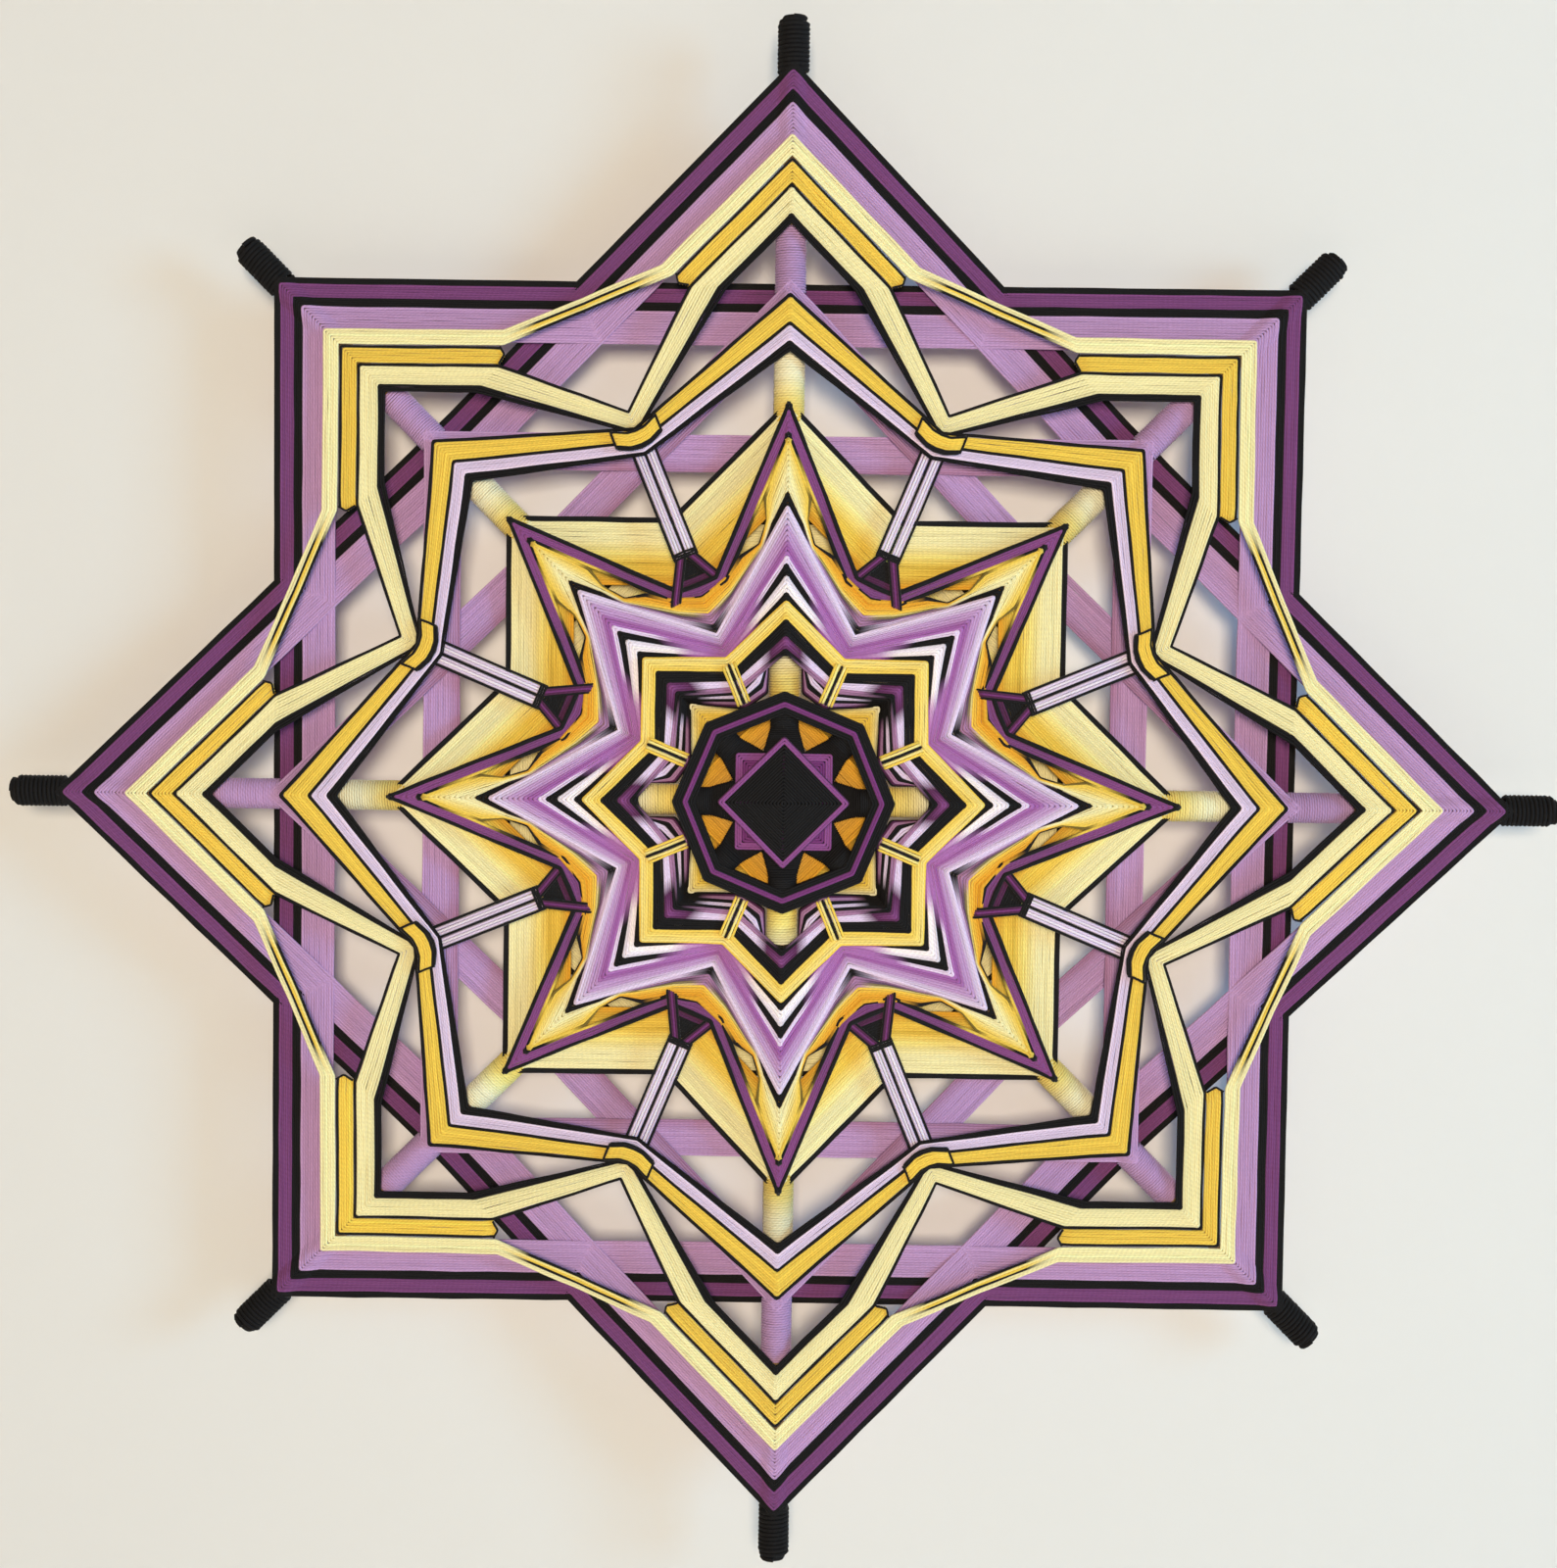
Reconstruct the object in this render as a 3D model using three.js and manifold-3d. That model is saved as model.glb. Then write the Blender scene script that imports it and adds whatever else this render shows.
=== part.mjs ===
// Ojo de dios: an eight-armed wall ornament of yarn wound on two crosses of wooden sticks.
// It is drawn lying on its back with the front to +Z, then stood up so that the front faces -Y.
// Yarn is wound from the centre outward, so every radius below is added up from the centre.
import * as THREE from 'three';
import { mergeVertices } from 'three/addons/utils/BufferGeometryUtils.js';
import Module from 'manifold-3d';

const wasm = await Module();
wasm.setup();

// Sticks and clearances, in millimetres.
const STICK_DIAMETER = 6;
const STICK_SIDES = 12;
const STICK_NOSE = 1.2;
const CLEARANCE = 0.3;
const BAND_GAP = 0.4;
const UNDER_GAP = 0.9;
const MERGE_DISTANCE = 1e-4;
const SHEET = 1.3;
const WRAP_THICKNESS = 1.9;
const WRAP_SIDES = 12;

// Yarn wound round the bare stick ends.
const TIP_LENGTH = 14.3;
const TIP_LOOPS = 5;
const TIP_YARN = 1.9;
const TIP_PITCH = 2.45;
const TIP_STEPS = 14;
const TIP_SIDES = 5;

// The hub: two small squares, one in front of the other, inside an eight-sided rim with black arms.
const HUB_SQUARE_CORNER = 19;
const HUB_OUTLINE_WIDTH = 2.2;
const HUB_PEAK = 4.2;
const RIM_ARM_WIDTH = 9;
const RIM_WEDGE_WIDTH = 13.6;
const RIM_WEDGE_LENGTH = 6;
const RIM_BLACK_INNER = 1.7;
const RIM_PURPLE = 1.9;
const RIM_BLACK_OUTER = 2.9;
const RIM_CORNER = 28.8;
const RIM_RISE = 12.5;
const RIM_TILE_STEP = 0.5;

// The two cream squares round the hub.
const HEART_INNER = 24;
const HEART_UPRIGHT_WIDTH = 11;
const HEART_DIAGONAL_WIDTH = 19.9;
const HEART_POST = 9.8;

// Each star lists its bands from the inside out: width on the arm and width in the valley.
const HEART_STAR = {
  rise: 11,
  drop: 2.5,
  dip: 1.5,
  bands: [
    { name: 'heart_star_black_inner', colour: 'black', tip: 2.0, valley: 1.4, seat: 'wrap' },
    { name: 'heart_star_plum', colour: 'plum', tip: 4.3, valley: 1.5 },
    { name: 'heart_star_black_outer', colour: 'black', tip: 6.3, valley: 3.0 },
    { name: 'heart_star_yellow', colour: 'yellow', tip: 5.1, valley: 4.0 },
  ],
};
const HEART_STAR_VALLEY = 38.5;
const HEART_STAR_GAP = 0.8;
const HEART_TIE_WIDTH = 3.8;
const HEART_TIE_REACH = 13;

const LAVENDER_STAR = {
  rise: 9,
  drop: 4,
  dip: 3,
  bands: [
    { name: 'lavender_star_black_inner', colour: 'black', tip: 2.8, valley: 0.7 },
    { name: 'lavender_star_white', colour: 'white', tip: 5.0, valley: 0.8 },
    { name: 'lavender_star_black_outer', colour: 'black', tip: 3.5, valley: 0.8 },
    { name: 'lavender_star_pale_inner', colour: 'pale', tip: 2.2, valley: 0.8 },
    { name: 'lavender_star_deep', colour: 'violet', tip: 6.0, valley: 1.1 },
    { name: 'lavender_star_pale_outer', colour: 'pale', tip: 8.6, valley: 1.7 },
  ],
};

const GOLDEN_STAR = {
  rise: 6.9,
  drop: 6,
  dip: 0.5,
  bands: [
    { name: 'golden_star_black', colour: 'black', tip: 4.7, bend: 1.6, valley: 3.0 },
    { name: 'golden_star_cream', colour: 'cream', tip: 6.4, bend: 2.4, valley: 3.6 },
    { name: 'golden_star_yellow', colour: 'yellow', tip: 9.9, bend: 4.2, valley: 5.0, seat: 'square' },
    { name: 'golden_star_purple', colour: 'purple', tip: 11.0, valley: 2.9, seat: 'square' },
  ],
};
const GOLDEN_BEND_ANGLE = 15;
const PURPLE_FOOT_GAP = 3.1;
const PURPLE_FOOT_ANGLE = 4.8;

const MIDDLE_STAR = {
  rise: 7,
  dip: 0,
  bands: [
    { name: 'middle_star_black_inner', colour: 'black', tip: 4.1, valley: 1.2, seat: 'wrap' },
    { name: 'middle_star_pale', colour: 'pale', tip: 3.4, valley: 2.3, seat: 'square' },
    { name: 'middle_star_black_middle', colour: 'black', tip: 1.8, valley: 1.0, seat: 'square' },
    { name: 'middle_star_yellow', colour: 'yellow', tip: 7.0, valley: 2.6, seat: 'square' },
    { name: 'middle_star_black_outer', colour: 'black', tip: 1.6, valley: 1.0, seat: 'square' },
  ],
};
const SPOKE_WIDTH = 7.4;
const SPOKE_LENGTH = 35;
const SPOKE_RISE = 2.2;
const SPOKE_FOOT_GAP = 8.2;
const GATHER_LENGTH = 15;
const GATHER_WIDTH = 4.6;
const GATHER_GAP = 0.6;

const CHEVRON = {
  rise: 7,
  dip: 0,
  bands: [
    { name: 'chevron_black_inner', colour: 'black', tip: 3.1, valley: 1.0, seat: 'wrap' },
    { name: 'chevron_cream_inner', colour: 'cream', tip: 8.9, valley: 3.0 },
    { name: 'chevron_black_outer', colour: 'black', tip: 2.2, valley: 1.2 },
  ],
};
const CHEVRON_SHOULDER = 19.2;
const CHEVRON_YELLOW = 7.4;
const CHEVRON_CREAM = 6.3;
const YELLOW_SETBACK = 5.7;
const LINK_TURN = 1.15;
const TIE_WIDTH = 4.4;
const TIE_SPACING = 34.2;
const TIE_YARN = 1.2;

// Straight squares on each cross and the wrapped posts outside them.
const CREAM_SQUARE_WIDTH = 21;
const CREAM_SQUARE_LAP = 1.0;
const CREAM_POST = 15.7;
const LAVENDER_SQUARE_WIDTH = 16.7;
const LAVENDER_SQUARE_LAP = 4.2;
const LAVENDER_POST = 20.5;
const OUTER_LAP = 4.4;
const OUTER_BANDS = [
  { name: 'outer_lavender', colour: 'lavender', tip: 14.9 },
  { name: 'outer_black', colour: 'black', tip: 3.5 },
  { name: 'outer_purple', colour: 'purple', tip: 6.0 },
  { name: 'outer_edge', colour: 'black', tip: 2.2 },
];
const DIP_LENGTH = 0.06;
const DIP_MARGIN = 0.01;

const YARN_COLOURS = {
  black: 0x1b1a1c,
  plum: 0x4d2a48,
  purple: 0x844884,
  violet: 0x9a62ae,
  lavender: 0xb48fc4,
  pale: 0xd9c6e2,
  white: 0xe6dcec,
  cream: 0xefe0a8,
  yellow: 0xe5c34b,
};
const YARN_ROUGHNESS = 0.9;
const WOOD_COLOUR = 0xc9a77a;
const WOOD_ROUGHNESS = 0.7;

// Heights that follow from the sizes above.
const STICK_RADIUS = STICK_DIAMETER / 2;
const SEAT = STICK_RADIUS + CLEARANCE;
const WRAP_RADIUS = SEAT + WRAP_THICKNESS;
const SEATS = {
  stick: SEAT,
  square: SEAT + SHEET + CLEARANCE,
  wrap: WRAP_RADIUS + CLEARANCE,
};
const DIAGONAL_AXIS = STICK_RADIUS;
const UPRIGHT_AXIS = DIAGONAL_AXIS + STICK_DIAMETER + SHEET + 2 * CLEARANCE;
const UNDER_LAYER = SHEET + UNDER_GAP;
const EIGHTH = Math.PI / 8;
const ARM_NAMES = ['n', 'ne', 'e', 'se', 's', 'sw', 'w', 'nw'];
const root = new THREE.Group();

function axisHeight(arm) {
  return arm % 2 === 0 ? UPRIGHT_AXIS : DIAGONAL_AXIS;
}

// A point in the drawing plane, along an arm and across it toward the next arm clockwise.
function onArm(arm, along, across) {
  const angle = Math.PI / 2 - arm * 2 * EIGHTH;
  const x = along * Math.cos(angle) + across * Math.sin(angle);
  const y = along * Math.sin(angle) - across * Math.cos(angle);
  return [x, y];
}

function polar(radius, angle) {
  return [radius * Math.cos(angle), radius * Math.sin(angle)];
}

function mix(a, b, share) {
  return a + (b - a) * share;
}

function yarn(colour) {
  const color = YARN_COLOURS[colour];
  return new THREE.MeshStandardMaterial({ color, roughness: YARN_ROUGHNESS, metalness: 0 });
}

function addPiece(name, geometry, material) {
  const mesh = new THREE.Mesh(geometry, material);
  mesh.name = name;
  root.add(mesh);
}

// Turns the faces of a closed mesh outward.
function facingOut(geometry) {
  const points = geometry.attributes.position;
  const index = geometry.index.array;
  const corner = (i) => new THREE.Vector3().fromBufferAttribute(points, index[i]);
  let volume = 0;
  for (let i = 0; i < index.length; i += 3) {
    volume += corner(i).dot(corner(i + 1).cross(corner(i + 2)));
  }
  if (volume < 0) {
    for (let i = 0; i < index.length; i += 3) {
      [index[i], index[i + 1]] = [index[i + 1], index[i]];
    }
  }
  return geometry;
}

// A solid drawn through sections of equal corner counts, closed on itself or capped at both ends.
function loft(sections, closed) {
  const corners = sections[0].length;
  const index = [];
  const spans = closed ? sections.length : sections.length - 1;
  for (let s = 0; s < spans; s += 1) {
    const here = s * corners;
    const next = ((s + 1) % sections.length) * corners;
    for (let c = 0; c < corners; c += 1) {
      const d = (c + 1) % corners;
      index.push(here + c, next + c, next + d, here + c, next + d, here + d);
    }
  }
  if (!closed) {
    const last = (sections.length - 1) * corners;
    for (let c = 1; c < corners - 1; c += 1) {
      index.push(0, c, c + 1, last, last + c + 1, last + c);
    }
  }
  const geometry = new THREE.BufferGeometry();
  geometry.setAttribute('position', new THREE.Float32BufferAttribute(sections.flat(2), 3));
  geometry.setIndex(index);
  return facingOut(geometry);
}

// A section of a band: outer and inner points in the drawing plane, top and underside heights.
function bandSection(outer, inner, bottom, top) {
  return [[...outer, top], [...inner, top], [...inner, bottom], [...outer, bottom]];
}

function toSolid(geometry) {
  const bare = new THREE.BufferGeometry();
  bare.setAttribute('position', geometry.attributes.position);
  bare.setIndex(geometry.index);
  const merged = mergeVertices(bare, MERGE_DISTANCE);
  const index = merged.index.array;
  const kept = [];
  for (let i = 0; i < index.length; i += 3) {
    const [a, b, c] = [index[i], index[i + 1], index[i + 2]];
    if (a !== b && b !== c && c !== a) {
      kept.push(a, b, c);
    }
  }
  merged.setIndex(kept);
  facingOut(merged);
  return new wasm.Manifold(new wasm.Mesh({
    numProp: 3,
    vertProperties: new Float32Array(merged.attributes.position.array),
    triVerts: new Uint32Array(merged.index.array),
  }));
}

function toGeometry(solid) {
  const mesh = solid.getMesh();
  const geometry = new THREE.BufferGeometry();
  geometry.setAttribute('position', new THREE.Float32BufferAttribute(mesh.vertProperties, 3));
  geometry.setIndex(Array.from(mesh.triVerts));
  return geometry;
}

function joined(geometries) {
  const solids = geometries.map(toSolid);
  return toGeometry(solids.reduce((whole, solid) => whole.add(solid)));
}

// A revolved profile laid along an arm, at the height of that arm's stick.
function alongArm(profile, sides, arm) {
  const geometry = new THREE.LatheGeometry(profile.map(([r, h]) => new THREE.Vector2(r, h)), sides);
  geometry.rotateY(Math.PI / sides);
  geometry.rotateZ(-arm * 2 * EIGHTH);
  geometry.translate(0, 0, axisHeight(arm));
  return geometry;
}

// A sleeve of yarn wound round one arm between two radii.
function sleeve(arm, from, to) {
  const bore = SEAT / Math.cos(Math.PI / WRAP_SIDES);
  const profile = [[bore, from], [WRAP_RADIUS, from], [WRAP_RADIUS, to], [bore, to], [bore, from]];
  return alongArm(profile, WRAP_SIDES, arm);
}

// A bar lying on the valley line between two arms, drawn in plan and given heights at both ends.
function valleyBar(arm, from, to, width, bottoms, thickness) {
  const place = (radius, across) => {
    const [along, aside] = polar(radius, EIGHTH);
    return onArm(arm, along - across * Math.sin(EIGHTH), aside + across * Math.cos(EIGHTH));
  };
  const section = (radius, bottom) => {
    const left = place(radius, -width / 2);
    const right = place(radius, width / 2);
    return bandSection(left, right, bottom, bottom + thickness);
  };
  return loft([section(from, bottoms[0]), section(to, bottoms[1])], false);
}

// Top heights of a star at an upright arm, at a diagonal arm and in the valley between them.
function starTops(star) {
  const drop = star.drop ?? UPRIGHT_AXIS - DIAGONAL_AXIS;
  const upright = UPRIGHT_AXIS + star.rise;
  const diagonal = upright - drop;
  return { upright, diagonal, valley: (upright + diagonal) / 2 - star.dip };
}

// A star-shaped band over all eight arms. Its outer and inner edges are drawn for one half sector,
// from the arm to the valley, and mirrored round the centre.
function starRing(star, edges, options = {}) {
  const tops = starTops(star);
  const seat = SEATS[options.seat ?? 'stick'];
  const section = (arm, mirror, i) => {
    const [outer, inner] = [edges.outer[i], edges.inner[i]];
    const middle = Math.atan2(outer[1] + inner[1], outer[0] + inner[0]);
    const share = Math.min(middle / EIGHTH, 1);
    const armTop = arm % 2 === 0 ? tops.upright : tops.diagonal;
    const top = mix(armTop, tops.valley, share);
    const bottom = mix(axisHeight(arm) + seat, tops.valley - SHEET, share);
    const sink = edges.sink ? edges.sink[i] : 0;
    const extraTop = i === edges.outer.length - 1 ? options.valleyRaise ?? 0 : 0;
    const extraBottom = i === edges.outer.length - 1 ? options.valleySink ?? 0 : 0;
    const place = ([along, across]) => onArm(arm, along, mirror * across);
    const underside = sink > 0 ? top - SHEET - sink : bottom - extraBottom;
    return bandSection(place(outer), place(inner), underside, top - sink + extraTop);
  };
  const last = edges.outer.length - 1;
  const sections = [];
  for (let arm = 0; arm < ARM_NAMES.length; arm += 1) {
    for (let i = 0; i <= last; i += 1) {
      sections.push(section(arm, 1, i));
    }
    for (let i = last - 1; i > 0; i -= 1) {
      sections.push(section((arm + 1) % ARM_NAMES.length, -1, i));
    }
  }
  return loft(sections, true);
}

// A straight-sided square wound on one cross, between two tip radii of a group of bands. On the
// upright cross its sides pass over the diagonal square of the same group and then dip behind the
// diagonal arm; on the diagonal cross they run flat, behind the upright arms.
function squareRing(firstArm, outerTip, innerTip, group) {
  const axis = axisHeight(firstArm);
  const shoulder = SEAT * Math.tan(EIGHTH);
  const flat = axis + shoulder;
  const stops = [
    { across: () => 0, bottom: axis + SEAT },
    { across: () => shoulder, bottom: axis + SEAT },
    { across: () => SEAT, bottom: flat },
  ];
  if (group) {
    const layer = SHEET + CLEARANCE;
    const sheetUnder = DIAGONAL_AXIS + shoulder;
    const dipFrom = 2 - (Math.SQRT2 * group.inner) / group.outer + DIP_MARGIN;
    const dipTo = dipFrom + DIP_LENGTH;
    stops.push({ across: (tip) => (tip / 2) * dipFrom, bottom: sheetUnder + layer });
    stops.push({ across: (tip) => (tip / 2) * dipTo, bottom: sheetUnder - layer });
  }
  const behind = DIAGONAL_AXIS - SEATS.wrap - SHEET;
  stops.push({ across: (tip) => tip / 2, bottom: group ? behind : flat });
  const section = (arm, mirror, stop) => {
    const place = (tip) => onArm(arm, tip - stop.across(tip), mirror * stop.across(tip));
    return bandSection(place(outerTip), place(innerTip), stop.bottom, stop.bottom + SHEET);
  };
  const sections = [];
  for (let side = 0; side < 4; side += 1) {
    const arm = (firstArm + 2 * side) % ARM_NAMES.length;
    const nextArm = (arm + 2) % ARM_NAMES.length;
    stops.forEach((stop) => sections.push(section(arm, 1, stop)));
    stops.slice(1, -1).reverse().forEach((stop) => sections.push(section(nextArm, -1, stop)));
  }
  return loft(sections, true);
}

function crossArms(firstArm) {
  return [0, 2, 4, 6].map((step) => firstArm + step);
}

// Stacks the bands of a star outward from given radii and returns each band's edges.
function stackBands(star, tipStart, valleyStart) {
  let tip = tipStart;
  let valley = valleyStart;
  return star.bands.map((band) => {
    const placed = { ...band, tipIn: tip, tipOut: tip + band.tip };
    placed.valleyIn = valley;
    placed.valleyOut = valley + band.valley;
    tip = placed.tipOut + BAND_GAP;
    valley = placed.valleyOut + BAND_GAP;
    return placed;
  });
}

function straightEdges(band) {
  return {
    outer: [[band.tipOut, 0], polar(band.valleyOut, EIGHTH)],
    inner: [[band.tipIn, 0], polar(band.valleyIn, EIGHTH)],
  };
}

// Radii, added up from the hub to the stick ends.
const rimOuter = RIM_CORNER + RIM_BLACK_INNER + RIM_PURPLE + RIM_BLACK_OUTER + 2 * BAND_GAP;
const heartPostEnd = HEART_INNER + HEART_UPRIGHT_WIDTH + HEART_POST;
const heartCorner = HEART_INNER + HEART_DIAGONAL_WIDTH;
const heartStarTip = Math.max(heartPostEnd, heartCorner, rimOuter) + HEART_STAR_GAP;
const heartBands = stackBands(HEART_STAR, heartStarTip, HEART_STAR_VALLEY);
const heartYellow = heartBands.at(-1);
const lavenderBands = stackBands(
  LAVENDER_STAR,
  heartYellow.tipOut + BAND_GAP,
  heartYellow.valleyOut + BAND_GAP,
);
const lavenderOuter = lavenderBands.at(-1);
const goldenBands = stackBands(
  GOLDEN_STAR,
  lavenderOuter.tipOut + BAND_GAP,
  lavenderOuter.valleyOut + BAND_GAP,
);
const goldenPurple = goldenBands.at(-1);
const spokeFoot = goldenPurple.valleyOut + PURPLE_FOOT_GAP + SPOKE_FOOT_GAP;
const middleBands = stackBands(MIDDLE_STAR, goldenPurple.tipOut + CREAM_POST, spokeFoot + SPOKE_LENGTH);
const middleOuter = middleBands.at(-1);
const chevronBands = stackBands(
  CHEVRON,
  middleOuter.tipOut + LAVENDER_POST,
  middleOuter.valleyOut + BAND_GAP,
);
const chevronOuter = chevronBands.at(-1);
const shoulderAlong = chevronBands[0].tipIn - CHEVRON_SHOULDER;
const yellowIn = chevronOuter.tipOut + BAND_GAP;
const yellowOut = yellowIn + CHEVRON_YELLOW;
const creamIn = yellowOut + BAND_GAP;
const creamOut = creamIn + CHEVRON_CREAM;
const tieIn = chevronOuter.valleyOut + TIE_SPACING;
const outerStart = creamOut - OUTER_LAP;
const outerTip = OUTER_BANDS.reduce((tip, band) => tip + band.tip + BAND_GAP, outerStart) - BAND_GAP;
const stickReach = outerTip + TIP_LENGTH;

// The four sticks, half-lapped in pairs.
function stickSolid(arm) {
  const nose = STICK_RADIUS - STICK_NOSE;
  const profile = [
    [0, -stickReach],
    [nose, -stickReach],
    [STICK_RADIUS, STICK_NOSE - stickReach],
    [STICK_RADIUS, stickReach - STICK_NOSE],
    [nose, stickReach],
    [0, stickReach],
  ];
  return toSolid(alongArm(profile, STICK_SIDES, arm));
}

function lapNotch(arm, side) {
  const size = STICK_DIAMETER + 2 * CLEARANCE;
  const notch = new THREE.BoxGeometry(size, size, size);
  notch.rotateZ(-arm * 2 * EIGHTH);
  notch.translate(0, 0, axisHeight(arm) + side * (size / 2 - CLEARANCE / 2));
  return toSolid(notch);
}

function makeSticks() {
  const finish = { color: WOOD_COLOUR, roughness: WOOD_ROUGHNESS, metalness: 0 };
  const wood = new THREE.MeshStandardMaterial(finish);
  const sticks = [
    { name: 'stick_upright', arm: 0, cutSide: -1 },
    { name: 'stick_level', arm: 2, cutSide: 1 },
    { name: 'stick_rising', arm: 1, cutSide: -1 },
    { name: 'stick_falling', arm: 3, cutSide: 1 },
  ];
  for (const { name, arm, cutSide } of sticks) {
    const solid = stickSolid(arm).subtract(lapNotch(arm, cutSide));
    addPiece(name, toGeometry(solid), wood.clone());
  }
}

// One unbroken tube of yarn wound round a stick end.
function tipCoilPoint(turn) {
  const coilRadius = SEAT + TIP_YARN / 2;
  const angle = turn * 2 * Math.PI;
  const start = outerTip + BAND_GAP + TIP_YARN / 2;
  return new THREE.Vector3(
    coilRadius * Math.cos(angle),
    start + turn * TIP_PITCH,
    coilRadius * Math.sin(angle),
  );
}

function tipCoilSections() {
  const count = TIP_LOOPS * TIP_STEPS;
  const sections = [];
  for (let i = 0; i <= count; i += 1) {
    const centre = tipCoilPoint(i / TIP_STEPS);
    const outward = new THREE.Vector3(centre.x, 0, centre.z).normalize();
    const lengthwise = new THREE.Vector3(0, 1, 0);
    const ring = [];
    for (let s = 0; s < TIP_SIDES; s += 1) {
      const angle = (s / TIP_SIDES) * 2 * Math.PI;
      const point = centre.clone();
      point.addScaledVector(outward, (TIP_YARN / 2) * Math.cos(angle));
      point.addScaledVector(lengthwise, (TIP_YARN / 2) * Math.sin(angle));
      ring.push(point.toArray());
    }
    sections.push(ring);
  }
  return sections;
}

function leastCoilGap(sections) {
  const halfLoop = Math.ceil(TIP_STEPS / 2);
  let least = Infinity;
  for (let i = 0; i < sections.length; i += 1) {
    for (let j = i + halfLoop; j < sections.length; j += 1) {
      for (const a of sections[i]) {
        for (const b of sections[j]) {
          least = Math.min(least, Math.hypot(a[0] - b[0], a[1] - b[1], a[2] - b[2]));
        }
      }
    }
  }
  return least;
}

function makeTipWraps() {
  const sections = tipCoilSections();
  console.log(`least gap between loops of a tip wrap: ${leastCoilGap(sections).toFixed(3)} mm`);
  ARM_NAMES.forEach((armName, arm) => {
    const coil = loft(sections, false);
    coil.rotateZ(-arm * 2 * EIGHTH);
    coil.translate(0, 0, axisHeight(arm));
    addPiece(`tip_wrap_${armName}`, coil, yarn('black'));
  });
}

// Straight bands on each cross, from the hub outward.
function makeSquares() {
  const creamOutTip = goldenPurple.tipOut + CREAM_SQUARE_LAP;
  const creamGroup = { outer: creamOutTip, inner: creamOutTip - CREAM_SQUARE_WIDTH };
  const lavenderOutTip = middleOuter.tipOut + LAVENDER_SQUARE_LAP;
  const lavenderGroup = { outer: lavenderOutTip, inner: lavenderOutTip - LAVENDER_SQUARE_WIDTH };
  const outerGroup = { outer: outerTip, inner: outerStart };
  for (const [label, firstArm] of [['upright', 0], ['diagonal', 1]]) {
    const dip = (group) => (firstArm === 0 ? group : null);
    const creamPosts = crossArms(firstArm).map((arm) => (
      sleeve(arm, goldenPurple.tipOut + BAND_GAP, middleBands[0].tipIn - BAND_GAP)
    ));
    const cream = squareRing(firstArm, creamGroup.outer, creamGroup.inner, dip(creamGroup));
    addPiece(`cream_square_${label}`, joined([cream, ...creamPosts]), yarn('cream'));

    const lavenderPosts = crossArms(firstArm).map((arm) => (
      sleeve(arm, middleOuter.tipOut + BAND_GAP, chevronBands[0].tipIn - BAND_GAP)
    ));
    const lavender = squareRing(firstArm, lavenderGroup.outer, lavenderGroup.inner, dip(lavenderGroup));
    addPiece(`lavender_square_${label}`, joined([lavender, ...lavenderPosts]), yarn('lavender'));

    let tip = outerStart;
    for (const band of OUTER_BANDS) {
      const ring = squareRing(firstArm, tip + band.tip, tip, dip(outerGroup));
      addPiece(`${band.name}_${label}`, ring, yarn(band.colour));
      tip += band.tip + BAND_GAP;
    }
  }
}

function makeHeartSquares() {
  const upright = squareRing(0, HEART_INNER + HEART_UPRIGHT_WIDTH, HEART_INNER, null);
  const posts = crossArms(0).map((arm) => (
    sleeve(arm, HEART_INNER + HEART_UPRIGHT_WIDTH - SHEET, heartPostEnd)
  ));
  addPiece('heart_square_upright', joined([upright, ...posts]), yarn('cream'));
  const diagonal = squareRing(1, heartCorner, HEART_INNER, null);
  addPiece('heart_square_diagonal', diagonal, yarn('yellow'));
}

// Star bands whose edges run straight from tip to valley.
function makeHeartStar() {
  const tops = starTops(HEART_STAR);
  for (const band of heartBands.slice(0, -1)) {
    addPiece(band.name, starRing(HEART_STAR, straightEdges(band), band), yarn(band.colour));
  }
  const raise = CLEARANCE + SHEET;
  const ring = starRing(HEART_STAR, straightEdges(heartYellow), { valleyRaise: raise });
  const tieEnd = (heartYellow.valleyIn + heartYellow.valleyOut) / 2;
  const tieBottoms = [tops.valley + CLEARANCE, tops.valley + CLEARANCE];
  const ties = ARM_NAMES.map((_, arm) => (
    valleyBar(arm, tieEnd - HEART_TIE_REACH, tieEnd, HEART_TIE_WIDTH, tieBottoms, SHEET)
  ));
  addPiece(heartYellow.name, joined([ring, ...ties]), yarn(heartYellow.colour));
}

function makeLavenderStar() {
  for (const band of lavenderBands) {
    addPiece(band.name, starRing(LAVENDER_STAR, straightEdges(band)), yarn(band.colour));
  }
}

// The radius at which a straight edge from a tip to a valley crosses a ray at a given angle.
function radiusOnEdge(tip, valley, angle) {
  const [along, across] = polar(valley, EIGHTH);
  const share = (tip * Math.tan(angle)) / (across + (tip - along) * Math.tan(angle));
  return Math.hypot(mix(tip, along, share), across * share);
}

// Golden bands bend inward beside the lavender star. Their radii on the bend ray are stacked outward.
function goldenBends() {
  const angle = THREE.MathUtils.degToRad(GOLDEN_BEND_ANGLE);
  let radius = radiusOnEdge(lavenderOuter.tipOut, lavenderOuter.valleyOut, angle) + BAND_GAP;
  const bends = goldenBands.slice(0, -1).map((band) => {
    const bend = { inner: polar(radius, angle), outer: polar(radius + band.bend, angle) };
    radius += band.bend + BAND_GAP;
    return bend;
  });
  return [...bends, { inner: polar(radius, angle) }];
}

function goldenEdges(band, bend) {
  return {
    outer: [[band.tipOut, 0], bend.outer, polar(band.valleyOut, EIGHTH)],
    inner: [[band.tipIn, 0], bend.inner, polar(band.valleyIn, EIGHTH)],
  };
}

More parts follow.
